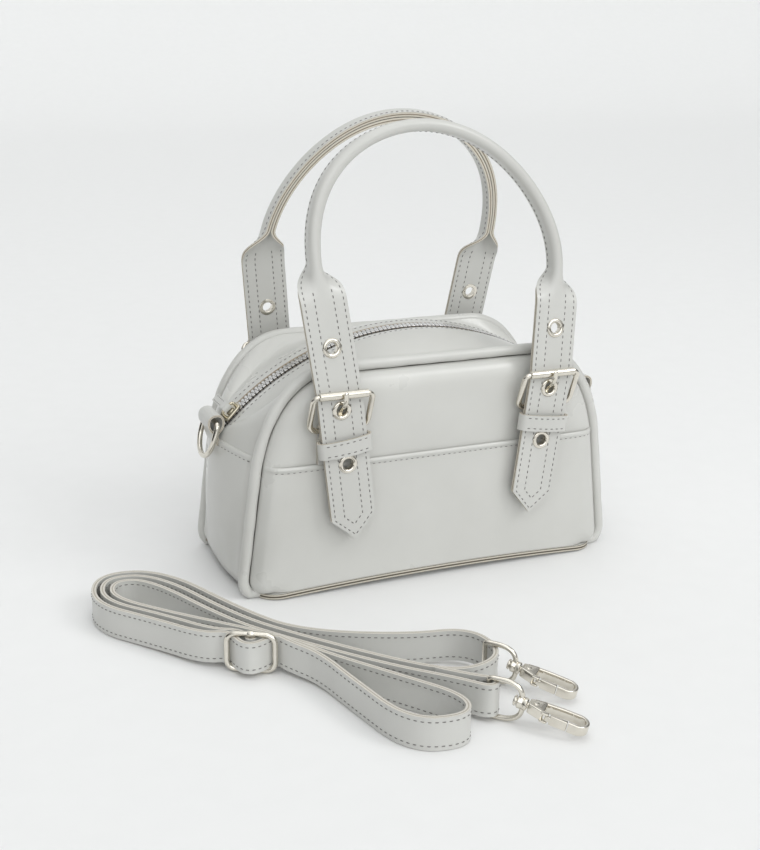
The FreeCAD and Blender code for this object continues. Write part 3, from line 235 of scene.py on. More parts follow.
@dataclass
class Patch:
    """Points and four-sided faces of a surface, gathered before they become a piece.

    uv holds two numbers for each corner of each face, and finish the number of each face's finish.
    """

    points: Array
    quads: Array
    uv: Array
    finish: Array

    def placed(self, place: Place) -> "Patch":
        """This surface drawn in a local frame."""
        return replace(self, points=place.world(self.points))

    def on(self, face: Face) -> "Patch":
        """This surface on its face of the bag: the back is the front turned half way round."""
        return self.flipped((-1.0, -1.0, 1.0) if face is Face.BACK else (1.0, 1.0, 1.0))

    def mirrored(self) -> "Patch":
        """This surface on the other end of the bag."""
        return self.flipped((-1.0, 1.0, 1.0))

    def flipped(self, signs: Sequence[float]) -> "Patch":
        """This surface with each coordinate multiplied by its sign."""
        return replace(self, points=self.points * np.array(signs, float))


def merged(patches: Sequence[Patch]) -> Patch:
    """Several surfaces as one."""
    starts = np.cumsum([0] + [len(patch.points) for patch in patches[:-1]])
    return Patch(
        np.concatenate([patch.points for patch in patches]),
        np.concatenate([patch.quads + start for patch, start in zip(patches, starts)]),
        np.concatenate([patch.uv for patch in patches]),
        np.concatenate([patch.finish for patch in patches]),
    )


def grid(
    points: Array,
    loop_rows: bool = False,
    loop_cols: bool = False,
    finish: int = 0,
    uv: Array | None = None,
    keep: Array | None = None,
) -> Patch:
    """Faces over a grid of points.

    Args:
        points: rows by columns by 3.
        loop_rows: whether the last row joins the first.
        loop_cols: whether the last column joins the first.
        finish: number of the finish of every face.
        uv: two numbers for each point, loops included; running lengths if left out.
        keep: which faces stay, rows by columns of faces.

    Returns:
        The surface as a patch.
    """
    rows, cols = points.shape[:2]
    if uv is None:
        full = np.concatenate([points, points[:1]]) if loop_rows else points
        full = np.concatenate([full, full[:, :1]], axis=1) if loop_cols else full
        across = np.linalg.norm(np.diff(full, axis=1), axis=2).cumsum(axis=1)
        along = np.linalg.norm(np.diff(full, axis=0), axis=2).cumsum(axis=0)
        uv = np.stack([np.pad(across, ((0, 0), (1, 0))), np.pad(along, ((1, 0), (0, 0)))], axis=2)
    row_count, col_count = rows - (not loop_rows), cols - (not loop_cols)
    i, j = np.meshgrid(np.arange(row_count), np.arange(col_count), indexing="ij")
    below, beside = (i + 1) % rows, (j + 1) % cols
    quads = np.stack([i * cols + j, i * cols + beside, below * cols + beside, below * cols + j], axis=-1)
    corners = np.stack([uv[i, j], uv[i, j + 1], uv[i + 1, j + 1], uv[i + 1, j]], axis=2)
    stays = np.ones(i.shape, bool) if keep is None else keep
    return Patch(points.reshape(-1, 3), quads[stays], corners[stays], np.full(int(stays.sum()), finish))


def shell(outer: Array, inner: Array, rims: Sequence[int] = (0, 0, 0, 0), steps: int = 4) -> list[Patch]:
    """A closed skin between two grids, with half-round rims that flatten towards the corners.

    Args:
        outer: grid of the outside.
        inner: grid of the inside, with the same rows and columns.
        rims: finish numbers of the first row's, last row's, first column's and last column's rim.
        steps: faces across a rim.

    Returns:
        The patches of both sides and the four rims.
    """
    patches = [grid(outer), grid(inner)]
    borders = (
        (outer[0], inner[0], outer[0] - outer[1]),
        (outer[-1], inner[-1], outer[-1] - outer[-2]),
        (outer[:, 0], inner[:, 0], outer[:, 0] - outer[:, 1]),
        (outer[:, -1], inner[:, -1], outer[:, -1] - outer[:, -2]),
    )
    turn = np.linspace(0.0, math.pi, steps + 1)[:, None, None]
    for (out_edge, in_edge, away), finish in zip(borders, rims):
        half = (out_edge - in_edge) / 2
        swell = np.linalg.norm(half, axis=1, keepdims=True) * unit(away + TINY)
        swell[[0, -1]] = 0.0
        points = (out_edge + in_edge) / 2 + half * np.cos(turn) + RIM_BULGE * swell * np.sin(turn)
        run = np.broadcast_to(run_along(out_edge), points.shape[:2])
        across = np.broadcast_to(turn[:, :, 0] / math.pi, points.shape[:2])
        patches.append(grid(points, finish=finish, uv=np.stack([run, across], axis=2)))
    return patches


def plane_frames(path: Array, normal: Array, closed: bool) -> tuple[Array, Array]:
    """Sideways and upward directions of a flat path: across it in its plane, and the plane's normal."""
    ahead = np.roll(path, -1, axis=0) - np.roll(path, 1, axis=0) if closed else np.gradient(path, axis=0)
    up = np.broadcast_to(normal, path.shape)
    return unit(np.cross(up, ahead)), up


def swept(path: Array, normal: Array, profile: Array, closed: bool = False) -> Patch:
    """A closed profile carried along a flat path, with its ends drawn to a point in their middle."""
    side, up = plane_frames(path, normal, closed)
    shape = np.broadcast_to(profile, (len(path),) + profile.shape[-2:])
    points = path[:, None] + shape[..., :1] * side[:, None] + shape[..., 1:] * up[:, None]
    points = points if closed else pointed_ends(points)
    return grid(points, loop_rows=closed, loop_cols=True)


def round_section(radius: Array | float, count: int) -> Array:
    """Round profile; one radius, or one for each point of a path."""
    turn = full_turn(count)
    ring = np.stack([np.cos(turn), np.sin(turn)], axis=1)
    return np.asarray(radius)[..., None, None] * ring


def lathed(profile: Sequence[Sequence[float]], place: Place, closed: bool = True, count: int = 36) -> Patch:
    """A profile of radius and height turned about the third axis of a frame."""
    shape = np.array(profile, float)
    turn = full_turn(count)
    ring = np.stack([np.cos(turn), np.sin(turn)], axis=1)
    flat = ring[:, None] * shape[None, :, :1]
    height = np.broadcast_to(shape[None, :, 1:], flat.shape[:2] + (1,))
    return grid(place.world(np.concatenate([flat, height], axis=2)), loop_rows=True, loop_cols=closed)


def slab(outline: Array, low: float, high: float, edge: float, side_finish: int = 0) -> Patch:
    """A plate over an anticlockwise outline, between two heights, with rounded edges and closed ends."""
    ahead = unit(np.roll(outline, -1, axis=0) - np.roll(outline, 1, axis=0))
    inward = np.stack([-ahead[:, 1], ahead[:, 0]], axis=1)
    turn = np.linspace(0.0, math.pi / 2, 5)
    insets = np.concatenate([edge * (1 - np.sin(turn)), edge * (1 - np.cos(turn))])
    heights = np.concatenate([low + edge * (1 - np.cos(turn)), high - edge + edge * np.sin(turn)])
    rings = outline + insets[:, None, None] * inward
    middle = np.broadcast_to(outline.mean(axis=0), (1,) + outline.shape)
    flat = np.concatenate([middle, rings, middle])
    levels = np.concatenate([[low], heights, [high]])
    points = np.concatenate([flat, np.broadcast_to(levels[:, None, None], flat.shape[:2] + (1,))], axis=2)
    run = np.concatenate([run_along(outline), [0.0]])
    across = (levels - low) / (high - low)
    uv = np.stack(np.broadcast_arrays(run[None, :], across[:, None]), axis=2)
    made = grid(points, loop_cols=True, uv=uv)
    made.finish.reshape(len(levels) - 1, -1)[1:-1] = side_finish
    return made


@dataclass(frozen=True)
class StrapColumns:
    """How the section of a flat strap is divided: its two faces and its two cut edges.

    across is the share of the half width and lift the share of the half thickness at each column. Each
    face between columns has a finish, 0 for leather and 1 for a cut edge, and its two uv heights.
    """

    per_face: int = 9
    per_edge: int = 4

    def section(self) -> tuple[Array, Array]:
        """Shares across the width and through the thickness, round the section."""
        face = np.linspace(-1.0, 1.0, self.per_face)
        edge = np.linspace(0.0, math.pi, self.per_edge + 2)[1:-1]
        across = np.concatenate([face, np.ones(len(edge)), -face, -np.ones(len(edge))])
        lift = np.concatenate([np.ones(len(face)), np.cos(edge), -np.ones(len(face)), -np.cos(edge)])
        return across, lift

    def skin(self, points: Array, run: Array, closed: bool, keep: Array | None = None) -> Patch:
        """Faces round the section, from grid points whose columns follow section().

        Args:
            points: stations by columns by 3.
            run: running length at each station.
            closed: whether the last station joins the first.
            keep: which faces stay.

        Returns:
            The strap's surface, with cut edges in finish 1.
        """
        face_cells, edge_cells = self.per_face - 1, self.per_edge + 1
        kinds = np.repeat([0, 1, 0, 1], [face_cells, edge_cells, face_cells, edge_cells])
        face_low = np.linspace(0.0, 1.0, face_cells, endpoint=False)
        edge_low = np.linspace(0.0, 1.0, edge_cells, endpoint=False)
        low = np.concatenate([face_low, edge_low, face_low, edge_low])
        high = low + np.where(kinds == 0, 1.0 / face_cells, 1.0 / edge_cells)
        made = grid(points, loop_rows=closed, loop_cols=True)
        rows = len(points) - (not closed)
        ends = np.concatenate([run, [run[-1] + run[1] - run[0]]]) if closed else run
        uv = np.empty((rows, len(kinds), 4, 2))
        uv[..., 0:2, 0] = ends[:rows, None, None]
        uv[..., 2:4, 0] = ends[1 : rows + 1, None, None]
        uv[..., [0, 3], 1] = low[None, :, None]
        uv[..., [1, 2], 1] = high[None, :, None]
        finish = np.broadcast_to(kinds, (rows, len(kinds))).reshape(-1)
        stays = np.ones(len(finish), bool) if keep is None else keep.reshape(-1)
        return Patch(made.points, made.quads[stays], uv.reshape(-1, 4, 2)[stays], finish[stays])

    def band(self, path: Array, normal: Array, half_thick: float, half_wide: float, closed: bool) -> Patch:
        """A flat strap along a flat path: its width lies along the path plane's normal."""
        side, up = plane_frames(path, normal, closed)
        across, lift = self.section()
        points = path[:, None] + (half_thick * lift)[:, None] * side[:, None]
        points = points + (half_wide * across)[:, None] * up[:, None]
        run = run_along(path)
        if not closed:
            points = pointed_ends(points)
            run = np.concatenate([[0.0], run, run[-1:]])
        return self.skin(points, run, closed)


PLAIN_STRAP = StrapColumns()


@dataclass(frozen=True)
class Seam:
    """A row of stitches: a stitch's spacing, length and thickness, its stand and how far its ends dip."""

    pitch: float = 3.2
    long: float = 1.85
    radius: float = 0.27
    stand: float = 0.05
    sink: float = 0.25

    def row(self, path: Array, normals: Array) -> Patch:
        """Stitches along a path: short threads that swell in the middle and dip at both ends.

        Args:
            path: points on the leather's surface.
            normals: the surface's normal at each of them.

        Returns:
            All stitches of the row as one patch.
        """
        run = run_along(path)
        total = run[-1]
        count = max(int(total / self.pitch), 1)
        starts = (np.arange(count) + 0.5) * total / count - self.long / 2
        share = np.array([0.0, 0.14, 0.5, 0.86, 1.0])
        marks = starts[:, None] + share * self.long
        middle = at_runs(path, marks)
        up = unit(np.stack([np.interp(marks, run, normals[:, k]) for k in range(3)], axis=-1))
        ahead = unit(middle[:, -1:] - middle[:, :1])
        side = unit(np.cross(ahead, up))
        swell = self.radius * np.array([0.35, 0.85, 1.0, 0.85, 0.35])
        dip = self.stand - self.sink * (2 * share - 1) ** 4
        turn = full_turn(6)
        ring = np.cos(turn)[:, None] * side[:, :, None] + np.sin(turn)[:, None] * up[:, :, None]
        points = (middle + dip[:, None] * up)[:, :, None] + swell[:, None, None] * ring
        rings, sides = len(share), len(turn)
        tube = grid(np.zeros((rings, sides, 3)), loop_cols=True).quads
        cap = np.array([[0, 1, 2, 3], [0, 3, 4, 5]])
        stitch = np.concatenate([tube, cap, cap + (rings - 1) * sides])
        quads = (stitch[None] + rings * sides * np.arange(count)[:, None, None]).reshape(-1, 4)
        return Patch(points.reshape(-1, 3), quads, np.zeros((len(quads), 4, 2)), np.zeros(len(quads), int))


class NodeBench:
    """Adds and joins the shader nodes of one material or of the world."""

    STRETCH = (0.32, 0.68)

    def __init__(self, owner: bpy.types.Material | bpy.types.World, shader: str = "Principled BSDF") -> None:
        owner.use_nodes = True
        self.tree = owner.node_tree
        self.shader = self.tree.nodes[shader]

    def add(
        self, kind: str, values: dict[str | int, object] | None = None, **settings: object
    ) -> bpy.types.Node:
        """A new node with its settings and the values of its own sockets."""
        node = self.tree.nodes.new(kind)
        for name, setting in settings.items():
            setattr(node, name, setting)
        for name, number in (values or {}).items():
            node.inputs[name].default_value = number
        return node

    def join(self, source: Socket, target: Socket) -> None:
        """A link from an output to an input."""
        self.tree.links.new(source, target)

    def over(self, output: str, kind: str, values: dict[str | int, object] | None = None) -> bpy.types.Node:
        """A new node over the piece's own coordinates: Object in metres, UV or Generated."""
        node = self.add(kind, values)
        self.join(self.add("ShaderNodeTexCoord").outputs[output], node.inputs["Vector"])
        return node

    def noise(self, scale: float, detail: float, rough: float = 0.5) -> Socket:
        """Even noise over the piece's own coordinates."""
        values = {"Scale": scale, "Detail": detail, "Roughness": rough}
        return self.over("Object", "ShaderNodeTexNoise", values).outputs["Fac"]

    def cells(self, scale: float) -> Socket:
        """Distance to the nearest of many scattered points."""
        return self.over("Object", "ShaderNodeTexVoronoi", {"Scale": scale}).outputs["Distance"]

    def between(self, share: Socket, first: Colour, second: Colour) -> Socket:
        """A colour between two, by a share that is stretched about its middle."""
        node = self.add("ShaderNodeValToRGB")
        for stop, position, colour in zip(node.color_ramp.elements, self.STRETCH, (first, second)):
            stop.position = position
            stop.color = (*colour, 1.0)
        self.join(share, node.inputs["Fac"])
        return node.outputs["Color"]

    def combine(self, operation: str, first: Socket, second: Socket) -> Socket:
        """The sum or the product of two numbers."""
        node = self.add("ShaderNodeMath", operation=operation)
        self.join(first, node.inputs[0])
        self.join(second, node.inputs[1])
        return node.outputs["Value"]

    def spread(
        self, share: Socket, low: float, high: float, start: float = 0.3, end: float = 0.7
    ) -> Socket:
        """A number between two, by a share that counts from its start to its end."""
        values = {"From Min": start, "From Max": end, "To Min": low, "To Max": high}
        node = self.add("ShaderNodeMapRange", values)
        self.join(share, node.inputs["Value"])
        return node.outputs["Result"]

    def bump(self, height: Socket, strength: float, deep: float, under: Socket | None = None) -> Socket:
        """A bumped normal, on top of another where there is one."""
        node = self.add("ShaderNodeBump", {"Strength": strength, "Distance": deep})
        self.join(height, node.inputs["Height"])
        if under is not None:
            self.join(under, node.inputs["Normal"])
        return node.outputs["Normal"]

    def paint(self, **sockets: object) -> None:
        """Joins or sets the shader's sockets, named with underscores for spaces."""
        for name, given in sockets.items():
            socket = self.shader.inputs[name.replace("_", " ")]
            if isinstance(given, Socket):
                self.join(given, socket)
            else:
                socket.default_value = given


@dataclass(frozen=True)
class Finish:
    """A surface finish: its name, its main colour and a second colour that it drifts to."""

    name: str
    colour: Colour
    drift: Colour

    def material(self) -> bpy.types.Material:
        """The finish's material, made the first time it is asked for and named apart from the CAD ones."""
        title = f"{self.name}_finish"
        found = bpy.data.materials.get(title)
        if found is None:
            found = bpy.data.materials.new(title)
            self.paint(NodeBench(found))
        return found

    def paint(self, bench: NodeBench) -> None:
        """Sets up the shader; each kind of finish has its own way."""
        raise NotImplementedError


@dataclass(frozen=True)
class Leather(Finish):
    """Smooth corrected leather: faint clouds of colour, fine pores, soft creases and a low sheen."""

    cloud_scale: float = 26.0
    wave_scale: float = 34.0
    crease_scale: float = 420.0
    pore_scale: float = 1500.0
    rough: float = 0.30
    smoother: float = 0.04
    rougher: float = 0.06
    relief: float = 0.10
    wave_depth: float = 0.0016
    crease_depth: float = 0.0003
    pore_depth: float = 0.00012
    coat: float = 0.3
    coat_rough: float = 0.18

    def paint(self, bench: NodeBench) -> None:
        """Clouds for colour and sheen; pores, creases and slow waves for the normal."""
        clouds = bench.noise(self.cloud_scale, 4.0)
        waves = bench.bump(bench.noise(self.wave_scale, 2.0), self.relief, self.wave_depth)
        lines = bench.noise(self.crease_scale, 6.0, 0.6)
        creases = bench.bump(lines, self.relief, self.crease_depth, waves)
        pores = bench.bump(bench.cells(self.pore_scale), self.relief, self.pore_depth, creases)
        bench.paint(
            Base_Color=bench.between(clouds, self.colour, self.drift),
            Roughness=bench.spread(clouds, self.rough - self.smoother, self.rough + self.rougher),
            Normal=pores,
            Coat_Weight=self.coat,
            Coat_Roughness=self.coat_rough,
        )


@dataclass(frozen=True)
class RawEdge(Finish):
    """Cut edge of two plies: pale fibres, a dark glue line and dark borders, across the UV map's height."""

    line: float = 0.07
    border: float = 0.14
    rough: float = 0.7
    fibre_scale: float = 2600.0
    fibre_shade: Colour = (0.72, 0.70, 0.66)

    def paint(self, bench: NodeBench) -> None:
        """A ramp across the edge for the plies, fine fibres for colour and bump."""
        split = bench.over("UV", "ShaderNodeSeparateXYZ")
        ramp = bench.add("ShaderNodeValToRGB")
        stops = ramp.color_ramp.elements
        for stop in stops:
            stop.color = (*self.drift, 1.0)
        for away in (0.5 - self.border, 2 * self.line):
            stops.new(0.5 - away).color = (*self.colour, 1.0)
            stops.new(0.5 + away).color = (*self.colour, 1.0)
        for away in (-self.line, self.line):
            stops.new(0.5 + away).color = (*self.drift, 1.0)
        bench.join(split.outputs["Y"], ramp.inputs["Fac"])
        fibres = bench.noise(self.fibre_scale, 3.0)
        tint = bench.add("ShaderNodeMix", {"Factor": 0.5}, data_type="RGBA", blend_type="MULTIPLY")
        bench.join(ramp.outputs["Color"], tint.inputs[6])
        bench.join(bench.between(fibres, self.fibre_shade, (1.0, 1.0, 1.0)), tint.inputs[7])
        raised = bench.bump(fibres, strength=0.3, deep=0.0002)
        bench.paint(Base_Color=tint.outputs[2], Roughness=self.rough, Normal=raised)


@dataclass(frozen=True)
class Thread(Finish):
    """Sewing thread: waxed, slightly uneven."""

    rough: float = 0.62
    twist_scale: float = 3800.0

    def paint(self, bench: NodeBench) -> None:
        """Fine noise for colour and twist."""
        twist = bench.noise(self.twist_scale, 2.0)
        bench.paint(
            Base_Color=bench.between(twist, self.colour, self.drift),
            Roughness=self.rough,
            Normal=bench.bump(twist, strength=0.3, deep=0.0001),
        )


@dataclass(frozen=True)
class Metal(Finish):
    """Polished plated metal with a faint brushed haze."""

    rough: float = 0.14
    smoother: float = 0.05
    rougher: float = 0.07
    haze_scale: float = 180.0
    scratch_scale: float = 1400.0

    def paint(self, bench: NodeBench) -> None:
        """Noise for the haze and fine scratches."""
        haze = bench.noise(self.haze_scale, 5.0, 0.6)
        bench.paint(
            Base_Color=bench.between(haze, self.colour, self.drift),
            Metallic=1.0,
            Roughness=bench.spread(haze, self.rough - self.smoother, self.rough + self.rougher),
            Normal=bench.bump(bench.noise(self.scratch_scale, 3.0), strength=0.03, deep=0.0001),
        )


@dataclass(frozen=True)
class Cloth(Finish):
    """Woven cloth: two sets of threads across each other over the UV map, in millimetres."""

    threads: float = 1.6
    uneven: float = 0.4
    rough: float = 0.85

    def paint(self, bench: NodeBench) -> None:
        """Two band patterns for the weave's height, which also sets its colour: darker where the weave is
        low.
        """
        heights = []
        values = {"Scale": self.threads, "Distortion": self.uneven}
        for direction in ("X", "Y"):
            wave = bench.over("UV", "ShaderNodeTexWave", values)
            wave.bands_direction = direction
            heights.append(wave.outputs["Fac"])
        weave = bench.combine("MULTIPLY", *heights)
        bench.paint(
            Base_Color=bench.between(weave, self.drift, self.colour),
            Roughness=self.rough,
            Normal=bench.bump(weave, strength=0.5, deep=0.0002),
        )


@dataclass(frozen=True)
class Matt(Finish):
    """Plain matt material with fine grain, for the hidden board, the lining and the floor."""

    grain: float = 700.0
    rough: float = 0.8

    def paint(self, bench: NodeBench) -> None:
        """One noise for colour and grain."""
        grain = bench.noise(self.grain, 4.0)
        bench.paint(
            Base_Color=bench.between(grain, self.colour, self.drift),
            Roughness=self.rough,
            Normal=bench.bump(grain, strength=0.1, deep=0.0001),
        )


LEATHER = Leather("leather", (0.585, 0.583, 0.556), (0.555, 0.553, 0.526))
# The straps' leather is the bag's leather, a little rougher and a shade darker; the darker tone is painted
# shade for the handles, straps, tabs and keepers.
STRAP_LEATHER = Leather("strap_leather", (0.575, 0.573, 0.547), (0.55, 0.548, 0.522), rough=0.34)
STRAP_EDGE = RawEdge("strap_edge", (0.64, 0.62, 0.57), (0.42, 0.38, 0.32), line=0.05)
RAW_EDGE = RawEdge("raw_edge", (0.66, 0.625, 0.545), (0.24, 0.195, 0.145), line=0.05)
# The base's rim: two pale plies with a dark glue line between them, and near-black borders above and below
# that are painted shadow of the gap under the panel's foot and of the shade under the lifted rim.
BASE_EDGE_AND_SHADOW = RawEdge("base_edge_and_shadow", (0.66, 0.63, 0.545), (0.09, 0.072, 0.05), line=0.11, border=0.19)
SLOT_EDGE = RawEdge("slot_edge", (0.42, 0.35, 0.26), (0.25, 0.20, 0.14), line=0.10)
# Grey thread set darker than its own colour, so it also carries painted shade from the stitch holes.
THREAD = Thread("thread", (0.19, 0.185, 0.175), (0.14, 0.137, 0.13))
NICKEL = Metal("nickel", (0.78, 0.745, 0.67), (0.69, 0.655, 0.58), rough=0.09)
SLIDER_METAL = Metal("slider_metal", (0.60, 0.555, 0.45), (0.53, 0.485, 0.38), rough=0.16)
ZIP_METAL = Metal("zip_metal", (0.76, 0.755, 0.75), (0.66, 0.655, 0.65), rough=0.2)
ZIP_CLOTH = Cloth("zip_cloth", (0.68, 0.675, 0.66), (0.55, 0.545, 0.53))
LINING_CLOTH = Matt("lining_cloth", (0.30, 0.26, 0.21), (0.26, 0.22, 0.18))
STIFFENER = Matt("stiffener", (0.20, 0.17, 0.14), (0.16, 0.13, 0.11), grain=300.0)
FLOOR = Matt("studio_floor", (0.815, 0.815, 0.812), (0.805, 0.805, 0.802), grain=60.0, rough=0.6)


def make_piece(
    name: str,
    patches: Sequence[Patch],
    finishes: Sequence[Finish],
    crease: float = 42.0,
    weld: bool = True,
) -> Piece:
    """A mesh object from patches, welded where they meet and with its faces turned outwards.

    Args:
        name: the object's name.
        patches: the surfaces it is made of.
        finishes: the finishes that the faces' numbers point to.
        crease: angle in degrees from which an edge stays sharp.
        weld: whether touching points become one.

    Returns:
        The object, in the bag's frame and not yet on a body.
    """
    whole = merged(patches)
    mesh = bpy.data.meshes.new(name)
    mesh.from_pydata(whole.points * MM, [], whole.quads)
    layer = mesh.uv_layers.new(name="UVMap")
    layer.data.foreach_set("uv", whole.uv.reshape(-1).astype(np.float32))
    mesh.polygons.foreach_set("material_index", whole.finish.astype(np.int32))
    for finish in finishes:
        mesh.materials.append(finish.material())
    work = bmesh.new()
    work.from_mesh(mesh)
    if weld:
        bmesh.ops.remove_doubles(work, verts=work.verts, dist=WELD_GAP)
    bmesh.ops.recalc_face_normals(work, faces=work.faces)
    work.to_mesh(mesh)
    work.free()
    mesh.polygons.foreach_set("use_smooth", np.ones(len(mesh.polygons), bool))
    mesh.set_sharp_from_angle(angle=math.radians(crease))
    piece = bpy.data.objects.new(name, mesh)
    bpy.context.collection.objects.link(piece)
    return piece


def dress(piece: Piece, body: str, slot: str, *nodes: str) -> Piece:
    """Puts a piece on its body and lets it stand for CAD nodes."""
    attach(piece, body)
    return stand_for(piece, slot, *nodes)


def stand_for(piece: Piece, slot: str, *nodes: str) -> Piece:
    """Hides the CAD nodes that a piece stands for and logs what it stands for."""
    if nodes:
        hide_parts(*nodes)
    count, shown = len(piece.data.polygons), ", ".join(nodes) or "nothing"
    LOG.info("%s: %d faces, stands for %s", piece.name, count, shown)
    return piece


def sew(name: str, rows: Sequence[Patch], body: str) -> None:
    """Puts rows of stitches on a body as one piece."""
    dress(make_piece(name, rows, [THREAD], weld=False), body, "leather")


@dataclass(frozen=True)
class BodyShape:
    """The bag's form: the outline of its two faces and the band that joins them.

    Outlines are half outlines of x and z from the foot to the middle of the top. The band's section
    swells from the faces' outline at its two edges to a taller crown line at its middle.
    """

    foot: float = 110.0
    shoulder: float = 101.0
    shoulder_height: float = 70.0
    top: float = 59.0
    height: float = 122.0
    corner: float = 0.55
    foot_round: float = 12.0
    foot_arch: float = 3.2
    arch_half: float = 105.0
    seam: float = 40.3
    face: float = 48.0
    roll: float = 14.0
    puff: float = 0.9
    wave: float = 0.25
    wave_runs: Pair = (23.0, 19.0)
    wave_shift: float = 0.8
    lift_run: float = 5.0
    band_half: float = 36.7
    band_grow: float = 3.5
    band_foot: float = 113.5
    band_shoulder: float = 115.0
    band_shoulder_height: float = 72.0
    crown_radius: float = 153.0
    crown_centre: float = -17.0
    crown_angle: float = 47.0
    crown_corner: float = 0.4
    belly: float = 2.2
    belly_height: float = 80.0
    belly_power: float = 1.5
    tuck: float = 3.0
    tuck_height: float = 12.0
    dent: float = 1.1
    dent_place: Pair = (28.0, 24.0)
    dent_size: Pair = (5.0, 18.0)
    side_crowd: float = 1.6
    side_count: int = 40
    corner_count: int = 44
    top_count: int = 36

    @property
    def stations(self) -> int:
        """Number of points in a half outline."""
        return self.side_count + self.corner_count + self.top_count

    def side(self, foot: Array, shoulder: Array) -> Array:
        """A straight side from foot to shoulder, its points closer together near the foot."""
        share = np.linspace(0.0, 1.0, self.side_count, endpoint=False) ** self.side_crowd
        return foot + share[:, None] * (shoulder - foot)

    def arch(self, x: Array) -> Array:
        """How far the foot between the corners stands off the floor: a parabola, highest at the middle."""
        return self.foot_arch * np.maximum(1.0 - (x / self.arch_half) ** 2, 0.0)

    def edge(self, grow: float) -> Array:
        """The faces' half outline, moved out: rounded foot, straight side, curved corner and flat top."""
        foot = np.array([self.foot + grow, 0.0])
        shoulder = np.array([self.shoulder + grow, self.shoulder_height])
        top = np.array([self.top, self.height + grow])
        rise = unit(shoulder - foot) * (top[1] - shoulder[1]) * self.corner
        near_top = top + np.array([(shoulder[0] - top[0]) * self.corner, 0.0])
        side = self.side(foot, shoulder)
        drop = np.maximum(self.foot_round - side[:, 1], 0.0)
        side[:, 0] -= self.foot_round - np.sqrt(self.foot_round**2 - drop**2)
        bend = bezier(shoulder, shoulder + rise, near_top, top, self.corner_count)
        flat = np.linspace(top, np.array([0.0, top[1]]), self.top_count + 1)[1:]
        return np.concatenate([side, bend, flat])

    def crown(self) -> Array:
        """The band's middle half outline: a steep side, a short corner and one long arc."""
        angle = math.radians(self.crown_angle)
        foot = np.array([self.band_foot, 0.0])
        shoulder = np.array([self.band_shoulder, self.band_shoulder_height])
        turn = np.linspace(angle, 0.0, self.top_count + 1)
        arc = self.crown_radius * np.stack([np.sin(turn), np.cos(turn)], axis=1)
        arc = arc + np.array([0.0, self.crown_centre])
        reach = self.crown_corner * np.linalg.norm(arc[0] - shoulder)
        rise = unit(shoulder - foot) * reach
        near_arc = arc[0] + reach * np.array([math.cos(angle), -math.sin(angle)])
        side = self.side(foot, shoulder)
        bend = bezier(shoulder, shoulder + rise, near_arc, arc[0], self.corner_count)
        return np.concatenate([side, bend, arc[1:]])

    def band(self, level: Array, depth: Array) -> Array:
        """Points of the band on the right: edge plus swell times one minus the square of the depth share.

        Args:
            level: station along the half outlines, counted in their points.
            depth: y of each point.

        Returns:
            Points with the soft belly of the side and its tuck at the foot.
        """
        stations = np.arange(self.stations)
        edge, crown = self.edge(self.band_grow), self.crown()
        low = [np.interp(level, stations, edge[:, k]) for k in range(2)]
        high = [np.interp(level, stations, crown[:, k]) for k in range(2)]
        swell = 1.0 - (depth / self.band_half) ** 2
        x = low[0] + (high[0] - low[0]) * swell
        z = low[1] + (high[1] - low[1]) * swell
        rise = np.sin(math.pi * np.clip(z / self.belly_height, 0.0, 1.0))
        belly = self.belly * swell * rise**self.belly_power
        tuck = self.tuck * (1.0 - smooth(z / self.tuck_height))
        (dent_y, dent_z), (dent_wide, dent_high) = self.dent_place, self.dent_size
        dent = np.exp(-(((np.abs(depth) - dent_y) / dent_wide) ** 2) - ((z - dent_z) / dent_high) ** 2)
        return np.stack(np.broadcast_arrays(x + belly - tuck - self.dent * dent, depth, z), axis=-1)

    def band_at_heights(self, depth: Array, low: Array, high: Array, rows: Array) -> Array:
        """A grid on the band's right side, its rows at shares between two heights for each depth."""
        levels = np.linspace(0.0, self.side_count + self.corner_count - 1.0, 400)
        columns = []
        for y, first, last in zip(depth, low, high):
            line = self.band(levels, np.full(len(levels), y))
            columns.append(np.interp(first + (last - first) * rows, line[:, 2], levels))
        return self.band(np.stack(columns, axis=1), np.broadcast_to(depth, (len(rows), len(depth))))

    def to_edge(self, x: Array, z: Array) -> Array:
        """Distance of points from the faces' outline, the open foot left out."""
        line = both_halves(self.edge(0.0))
        start, step = line[:-1], np.diff(line, axis=0)
        points = np.stack([x, z], axis=-1).reshape(-1, 1, 2)
        share = np.sum((points - start) * step, axis=2) / np.sum(step * step, axis=1)
        foot = start + np.clip(share, 0.0, 1.0)[..., None] * step
        return np.linalg.norm(points - foot, axis=2).min(axis=1).reshape(x.shape)

    def front(self, x: Array, z: Array, lift: float) -> Array:
        """Points of the front face: a quarter-round pillow along the outline, faintly domed."""
        away = self.to_edge(x, z)
        share = np.clip(away / self.roll, 0.0, 1.0)
        pillow = (self.face - self.seam) * np.sqrt(1.0 - (1.0 - share) ** 2)
        rise = np.sin(math.pi * np.clip(z / self.height, 0.0, 1.0))
        dome = self.puff * (1.0 - (x / self.foot) ** 2) * rise
        along, upward = self.wave_runs
        wave = self.wave * np.sin(x / along + self.wave_shift) * np.sin(z / upward) * share
        out = self.seam + pillow + dome + wave + lift * smooth(away / self.lift_run)
        return np.stack([x, -out, z], axis=-1)

    def flank(self) -> Array:
        """The faces' half outline from the foot to the start of the flat top."""
        return self.edge(0.0)[: self.side_count + self.corner_count]

    def half_width(self, z: Array) -> Array:
        """Half width of a face at given heights."""
        half = self.flank()
        return np.interp(z, half[:, 1], half[:, 0])


SHAPE = BodyShape()


